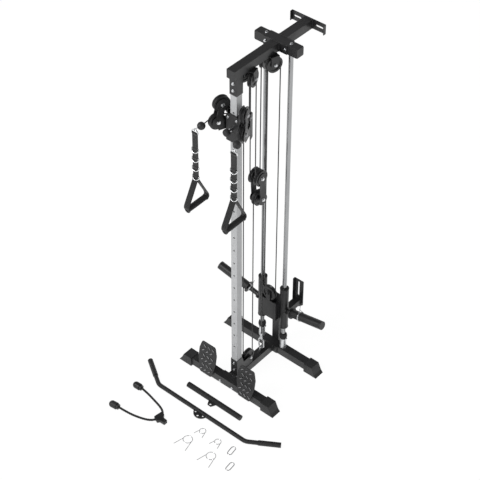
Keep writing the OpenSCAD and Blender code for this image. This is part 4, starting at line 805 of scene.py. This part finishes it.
class TOWER_OT_webbing(bpy.types.Operator):
    """Handle webbing: two plies sewn between D-rings, and two legs that turn into the grip"""

    bl_idname = "tower.webbing"
    bl_label = "Webbing"

    def execute(self, context):
        setting = context.scene.tower_handles
        thick = setting.strap_thickness
        for name, side in SIDES.items():
            x = side * HANDLE_X
            ply = flat_oval(thick / 2, setting.strap_width / 2)
            strap = sweep(self.loop(x, thick), ply, ACROSS)
            leg = flat_oval(thick * 0.8, setting.strap_width / 2)
            legs = [sweep(self.leg(x, way), leg, ACROSS) for way in (-1, 1)]
            made = build("webbing_" + name, [strap] + legs, finish("webbing"), "handle_" + name)
            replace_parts(made, "handle_strap_" + name)
            build("stitches_" + name, [self.stitches(x, setting)], finish("cable_jacket"), "handle_" + name)
            hung = dee(setting.ring_radius, RING_LEAN)
            rings = [sweep(hung + place(x, HANDLE_Y, z), circle(RING_WIRE_R, 12), INWARD, closed=True)
                     for z in RING_Z]
            made = build("rings_" + name, rings, finish("chrome"), "handle_" + name)
            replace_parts(made, "handle_rings_" + name)
        return {"FINISHED"}

    def loop(self, x, thick):
        """Front ply up, over the link and down as the back ply. Each ply stands off by the widest of its
        bells, base + h exp(-((z - z0) / w)^2), one round each D-ring and one round the link."""
        base = thick / 2 + 0.0002
        z = np.linspace(FORK_Z - 0.004, STRAP_TOP_Z, 260)
        off = np.full_like(z, base)
        crown = LINK_WIRE_R + thick / 2 + PLY_GAP
        bells = [(ring, 0.0025 + thick / 2 + PLY_GAP) for ring in RING_Z] + [(STRAP_TOP_Z, crown)]
        for middle, reach in bells:
            off = np.maximum(off, base + (reach - base) * np.exp(-((z - middle) / BELL_H) ** 2))
        a = np.radians(np.linspace(180, 0, 15)[1:-1])
        over = np.stack([crown * np.cos(a), STRAP_TOP_Z + crown * np.sin(a)], -1)
        front = np.stack([-off, z], -1)
        back = np.stack([off, z], -1)[::-1]
        yz = np.concatenate([front, over, back])
        return np.column_stack([np.full(len(yz), x), yz[:, 0] + HANDLE_Y, yz[:, 1]]) + SHIFT

    def leg(self, x, way):
        """From the fork down to the end of the grip, and round into its bore."""
        yz = spline([
            [0.0006, FORK_Z + 0.010], [0.0040, FORK_Z - 0.002], [0.0395, GRIP_Z + 0.092],
            [0.0700, GRIP_Z + 0.0335], [0.0752, GRIP_Z + 0.018], [0.0752, GRIP_Z + 0.008],
            [0.0720, GRIP_Z + 0.0015], [0.0640, GRIP_Z],
        ], 90)
        return np.column_stack([np.full(len(yz), x), way * yz[:, 0] + HANDLE_Y, yz[:, 1]]) + SHIFT

    def stitches(self, x, setting):
        """Rows of small eight-sided stitches above and below each D-ring, on both faces."""
        half = setting.strap_width / 2 - 0.003
        across = np.arange(-half, half, setting.stitch_pitch)
        rows = np.array([ring + d for ring in RING_Z for d in (-0.0125, 0.0125)])
        face = setting.strap_thickness + 0.0003
        u, z, y = np.meshgrid(across, rows, [-face, face], indexing="ij")
        middle = np.column_stack([u.ravel() + x, y.ravel() + HANDLE_Y, z.ravel()]) + SHIFT
        size = np.array([setting.stitch_pitch * 0.36, 0.0004, 0.0005])
        corner = np.array([[1, 0, 0], [-1, 0, 0], [0, 1, 0], [0, -1, 0], [0, 0, 1], [0, 0, -1]]) * size
        points = (middle[:, None] + corner[None]).reshape(-1, 3)
        face_of = np.array([[0, 2, 4], [2, 1, 4], [1, 3, 4], [3, 0, 4],
                            [2, 0, 5], [1, 2, 5], [3, 1, 5], [0, 3, 5]])
        faces = (np.arange(len(middle))[:, None, None] * 6 + face_of[None]).reshape(-1, 3)
        return points, faces.tolist(), np.zeros((len(points), 2))


class TOWER_OT_grips(bpy.types.Operator):
    """Foam grips, slightly crowned, with a moulded ring at each end"""

    bl_idname = "tower.grips"
    bl_label = "Grips"

    def execute(self, context):
        outer = context.scene.tower_handles.grip_width / 2
        ring = 0.006
        bore = 0.0102
        for name, side in SIDES.items():
            centre = place(side * HANDLE_X, HANDLE_Y, GRIP_Z)
            h = np.linspace(-1, 1, 60)
            half = GRIP_HALF - ring
            crown = outer - 0.0006 + 0.0006 * (1 - h**2) - 0.0016 * np.abs(h) ** 40
            foam = np.column_stack([crown, h * half])
            inner = np.column_stack([np.full(12, bore), np.linspace(half, -half, 12)])
            made = build("foam_grip_" + name, [revolve(np.vstack([foam, inner]), centre, INWARD)],
                         finish("foam"), "handle_" + name)
            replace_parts(made, "handle_grip_" + name)
            caps = []
            for way in (-1, 1):
                a = np.radians(np.linspace(0, 90, 7))
                lip = 0.0018
                wide = outer + 0.002
                edge = np.column_stack([wide - lip + lip * np.cos(a), ring - lip + lip * np.sin(a)])
                profile = np.vstack([[[bore, 0], [wide, 0]], edge, [[bore, ring]]])
                caps.append(revolve(profile, centre + way * half * INWARD, way * INWARD))
            build("grip_rings_" + name, caps, finish("sleeve_plastic"), "handle_" + name)
        return {"FINISHED"}


class TOWER_OT_treads(bpy.types.Operator):
    """Rounded bars on the foot plates: half of a flattened super-ellipsoid each, in rows leaning both ways.
    Their lighter metal grey is painted highlight, standing in for the shine on black raised treads
    """

    bl_idname = "tower.treads"
    bl_label = "Treads"

    def execute(self, context):
        rows = context.scene.tower_looks.tread_rows
        long_half, wide_half, rise, power = 0.0105, 0.0020, 0.0013, 0.45
        pitch = TREAD_LEN / (rows + 0.6)
        slant = math.radians(40)
        u = np.linspace(0, 2 * np.pi, 24, endpoint=False)[None, :]
        v = np.linspace(0, np.pi / 2, 5)[:, None]
        round_x = np.sign(np.cos(u)) * np.abs(np.cos(u)) ** power
        round_z = np.sign(np.sin(u)) * np.abs(np.sin(u)) ** power
        bar_x = long_half * round_x * np.cos(v) ** 0.5
        bar_z = wide_half * round_z * np.cos(v) ** 0.5
        bar_y = np.broadcast_to(-rise * np.sin(v), bar_x.shape)
        faces = grid_faces(5, 24).tolist() + [list(range(24))]
        for name, side in SIDES.items():
            parts = []
            for row in range(rows):
                way = 1 if row % 2 == 0 else -1
                c, s = math.cos(way * slant), math.sin(way * slant)
                for i in (-1, 0, 1):
                    x = (i + 0.18 * way) * TREAD_LOW_HALF * 0.68 + bar_x * c + bar_z * s
                    up = (row + 0.8) * pitch - bar_x * s + bar_z * c
                    out = bar_y - TREAD_THICK - 0.0014
                    y = out * math.cos(TREAD_LEAN) + up * math.sin(TREAD_LEAN)
                    z = up * math.cos(TREAD_LEAN) - out * math.sin(TREAD_LEAN)
                    bar = np.stack([x, y, z], -1).reshape(-1, 3) + TREAD_FOOT
                    points = bar * [side, 1, 1] + SHIFT
                    parts.append((points, faces, np.zeros((len(points), 2))))
            # The bars' lighter grey is painted highlight, not a colour of their own
            build("tread_bars_" + name, parts, finish("tread_painted_highlight"), "frame")
        return {"FINISHED"}


class TOWER_OT_welds(bpy.types.Operator):
    """Weld beads round the tubes where they meet their flanges: a thin tube whose radius ripples"""

    bl_idname = "tower.welds"
    bl_label = "Welds"

    def execute(self, context):
        radius = context.scene.tower_looks.weld_radius
        half = 0.025
        parts = []
        for y, z in ((-0.018, 0.033), (CROSS_FRONT_Y - 0.005, 0.033), (CROSS_FRONT_Y - 0.005, 2.125),
                     (CROSS_REAR_Y + 0.005, 2.125), (WALL_Y - 0.004, 2.125)):
            parts.append(self.bead(y, z, half, radius))
        build("weld_beads", parts, finish("frame_paint"), "frame")
        return {"FINISHED"}

    def bead(self, y, z, half, radius):
        """A rounded square path whose outline swells by sin(2 pi s / pitch)."""
        a = np.linspace(0, 2 * np.pi, 241)[:-1]
        c, s = np.cos(a), np.sin(a)
        square = np.maximum(np.abs(c), np.abs(s))
        path = np.column_stack([half * c / square, np.full(len(a), y), z + half * s / square]) + SHIFT
        swell = 1 + 0.16 * np.sin(2 * np.pi * travel(path) / 0.0042)
        outline = circle(radius, 8)[None] * swell[:, None, None]
        return sweep(path, outline, INWARD, closed=True)


class TOWER_OT_fittings(bpy.types.Operator):
    """A pressed ferrule on the low cable's end at the slider: a turned profile with waists"""

    bl_idname = "tower.fittings"
    bl_label = "Fittings"

    def execute(self, context):
        h = np.linspace(0, 1, 40)
        r = 0.0048 - 0.0006 * np.cos(6 * np.pi * h) ** 8
        profile = np.vstack([[[0.0028, 0]], np.column_stack([r, h * 0.020]), [[0.0028, 0.020]]])
        build("slider_ferrule", [revolve(profile, place(0, LOW_LINE_Y, SLIDER_LUG_Z - 0.021), UP, 24)],
              finish("zinc"), "slider")
        return {"FINISHED"}


class TOWER_OT_bolts(bpy.types.Operator):
    """Washers and chamfered hexagon heads on the axles of the arms and of the floating block"""

    bl_idname = "tower.bolts"
    bl_label = "Bolts"

    def execute(self, context):
        for name, side in SIDES.items():
            out = np.array([math.cos(SLIDER_TOE), side * math.sin(SLIDER_TOE), 0])
            parts = []
            for s, z in ((ARM_S, ARM_Z), (ARM_UPPER_S, ARM_UPPER_Z)):
                for way in (-1, 1):
                    parts += self.head(toed(side, s, z) + way * ARM_FAR * out, way * out)
            build("arm_bolts_" + name, parts, finish("chrome"), "swivel_" + name, smooth=False)
        parts = []
        for y, z in ((FLOAT_UPPER_Y, FLOAT_UPPER_Z), (FLOAT_LOWER_Y, FLOAT_LOWER_Z)):
            for way in (-1, 1):
                parts += self.head(place(way * FLOAT_FAR, y, z), way * ACROSS)
        build("block_bolts", parts, finish("chrome"), "floating", smooth=False)
        return {"FINISHED"}

    def head(self, at, axis):
        """A washer with rounded rim and a six-sided head whose chamfer narrows towards its flat end."""
        washer = [[0.0, 0.0], [0.0098, 0.0], [0.0102, 0.0004],
                  [0.0102, 0.0015], [0.0098, 0.0019], [0.0, 0.0019]]
        block = [[0.0, 0.0010], [0.0088, 0.0010], [0.0088, 0.0066], [0.0078, 0.0074], [0.0, 0.0074]]
        return [revolve(washer, at, axis, 32, False), revolve(block, at, axis, 6, False)]


class TOWER_OT_links(bpy.types.Operator):
    """Stop balls with a moulded seam, and the bright eye and link that carry each handle"""

    bl_idname = "tower.links"
    bl_label = "Balls and links"

    def execute(self, context):
        t = np.radians(np.linspace(-90, 90, 61))
        swell = BALL_R - 0.0005 * np.exp(-((t / 0.05) ** 2))
        ball = np.column_stack([swell * np.cos(t), swell * np.sin(t)])
        loop = dee(LINK_R, math.pi)
        eye = np.column_stack([np.zeros(24), circle(EYE_R, 24)])
        for name, side in SIDES.items():
            centre = toed(side, BALL_S, BALL_Z)
            made = build("stop_ball_" + name, [revolve(ball, centre, outward(side), 48, False)],
                         finish("ball_rubber"), "ball_" + name)
            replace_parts(made, "cable_ball_" + name)
            low = place(side * HANDLE_X, HANDLE_Y, STRAP_TOP_Z)
            top = low + LINK_R * UP
            stem = np.linspace(centre, top + EYE_R * unit(centre - top), 6)
            parts = [
                sweep(low + loop, circle(LINK_WIRE_R, 12), INWARD, closed=True),
                sweep(top + eye, circle(EYE_WIRE_R, 10), ACROSS, closed=True),
                sweep(stem, circle(LINK_WIRE_R, 12), ACROSS),
            ]
            build("ball_link_" + name, parts, finish("chrome"), "ball_" + name)
        return {"FINISHED"}


class TOWER_OT_bumpers(bpy.types.Operator):
    """Barrel shaped rubber bumpers on the guide rods, and the black grips of the collars' clamping screws"""

    bl_idname = "tower.bumpers"
    bl_label = "Bumpers"

    def execute(self, context):
        h = np.linspace(0, 1, 34)
        r = 0.0172 + 0.0052 * np.sin(np.pi * h) ** 0.7
        inner = np.column_stack([np.full(6, 0.0128), np.linspace(1, 0, 6) * BUMPER_H])
        profile = np.vstack([np.column_stack([r, h * BUMPER_H]), inner])
        parts = [revolve(profile, place(side * ROD_X, ROD_Y, BUMPER_Z), UP) for side in SIDES.values()]
        made = build("bumpers", parts, finish("bumper_rubber"), "frame")
        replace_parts(made, "rod_bumpers")
        a = np.linspace(0, 2 * np.pi, 72, endpoint=False)
        knurl = 0.0066 + 0.0004 * np.abs(np.cos(9 * a))
        outline = np.column_stack([knurl * np.cos(a), knurl * np.sin(a)])
        grips = []
        for side in SIDES.values():
            at = place(side * ROD_X, ROD_Y, BUMPER_Z - 0.026)
            grips.append(sweep(np.linspace(at + 0.0175 * INWARD, at + 0.0285 * INWARD, 5), outline, UP))
        build("collar_grips", grips, finish("sleeve_plastic"), "frame")
        return {"FINISHED"}


class TOWER_OT_clips(bpy.types.Operator):
    """Sprung wire clips on the horns: a helix with radius rising into two levers at its ends"""

    bl_idname = "tower.clips"
    bl_label = "Horn clips"

    def execute(self, context):
        wire = circle(0.0019, 10)
        for name, side, run, radius in (("left", -1, 0.071, 0.0160), ("right", 1, 0.105, LOAD_R + 0.0020)):
            out = np.array([side * math.cos(HORN_TILT), 0, math.sin(HORN_TILT)])
            lift = np.array([-side * math.sin(HORN_TILT), 0, math.cos(HORN_TILT)])
            centre = place(side * HORN_X, ROD_Y - 0.004, HORN_Z) + run * out
            a = np.radians(np.linspace(100, 100 + 660, 100))
            grow = np.linspace(-0.0042, 0.0042, 100)
            turned = np.cos(a)[:, None] * INWARD + np.sin(a)[:, None] * lift
            ring = centre + radius * turned + grow[:, None] * out
            first, last = ring[0], ring[-1]
            head = first + np.linspace(0.045, 0.002, 8)[:, None] * unit(0.8 * lift + 0.5 * INWARD)
            tail = last + np.linspace(0.002, 0.045, 8)[:, None] * unit(0.8 * lift - 0.5 * INWARD)
            path = np.vstack([head, ring, tail])
            build("horn_clip_" + name, [sweep(path, wire, out)], finish("zinc"), "carriage")
        return {"FINISHED"}


class TOWER_OT_finishes(bpy.types.Operator):
    """Gives each solid that still shows the finish of its slot"""

    bl_idname = "tower.finishes"
    bl_label = "Finishes"

    def execute(self, context):
        for part in frame["record"]["subparts"]:
            node = frame["nodes"][part["node"]]
            if node.hide_render:
                continue
            made = finish(OWN_FINISH.get(part["node"], part["material_slot"]))
            node.data.materials.clear()
            node.data.materials.append(made)
        return {"FINISHED"}


class TOWER_PT_panel(bpy.types.Panel):
    """Pieces and settings of the tower"""

    bl_idname = "TOWER_PT_panel"
    bl_label = "Tower"
    bl_space_type = "VIEW_3D"
    bl_region_type = "UI"
    bl_category = "Tower"

    def draw(self, context):
        for operator in OPERATORS:
            self.layout.operator(operator.bl_idname)
        for name in SETTINGS:
            group = getattr(context.scene, name)
            for prop in group.bl_rna.properties:
                if prop.identifier not in ("rna_type", "name"):
                    self.layout.prop(group, prop.identifier)


SETTINGS = {
    "tower_stage": TowerStageSettings,
    "tower_cables": TowerCableSettings,
    "tower_handles": TowerHandleSettings,
    "tower_looks": TowerLookSettings,
}
OPERATORS = (
    TOWER_OT_stage, TOWER_OT_cables, TOWER_OT_rope, TOWER_OT_webbing, TOWER_OT_grips, TOWER_OT_treads,
    TOWER_OT_welds, TOWER_OT_fittings, TOWER_OT_bolts, TOWER_OT_links, TOWER_OT_bumpers,
    TOWER_OT_clips, TOWER_OT_finishes,
)


def register():
    for name, group in SETTINGS.items():
        bpy.utils.register_class(group)
        setattr(bpy.types.Scene, name, PointerProperty(type=group))
    for cls in (*OPERATORS, TOWER_PT_panel):
        bpy.utils.register_class(cls)


def unregister():
    for cls in (TOWER_PT_panel, *reversed(OPERATORS)):
        bpy.utils.unregister_class(cls)
    for name, group in reversed(SETTINGS.items()):
        delattr(bpy.types.Scene, name)
        bpy.utils.unregister_class(group)


def main():
    register()
    for operator in OPERATORS:
        group, name = operator.bl_idname.split(".")
        getattr(getattr(bpy.ops, group), name)()


if __name__ == "__main__":
    main()
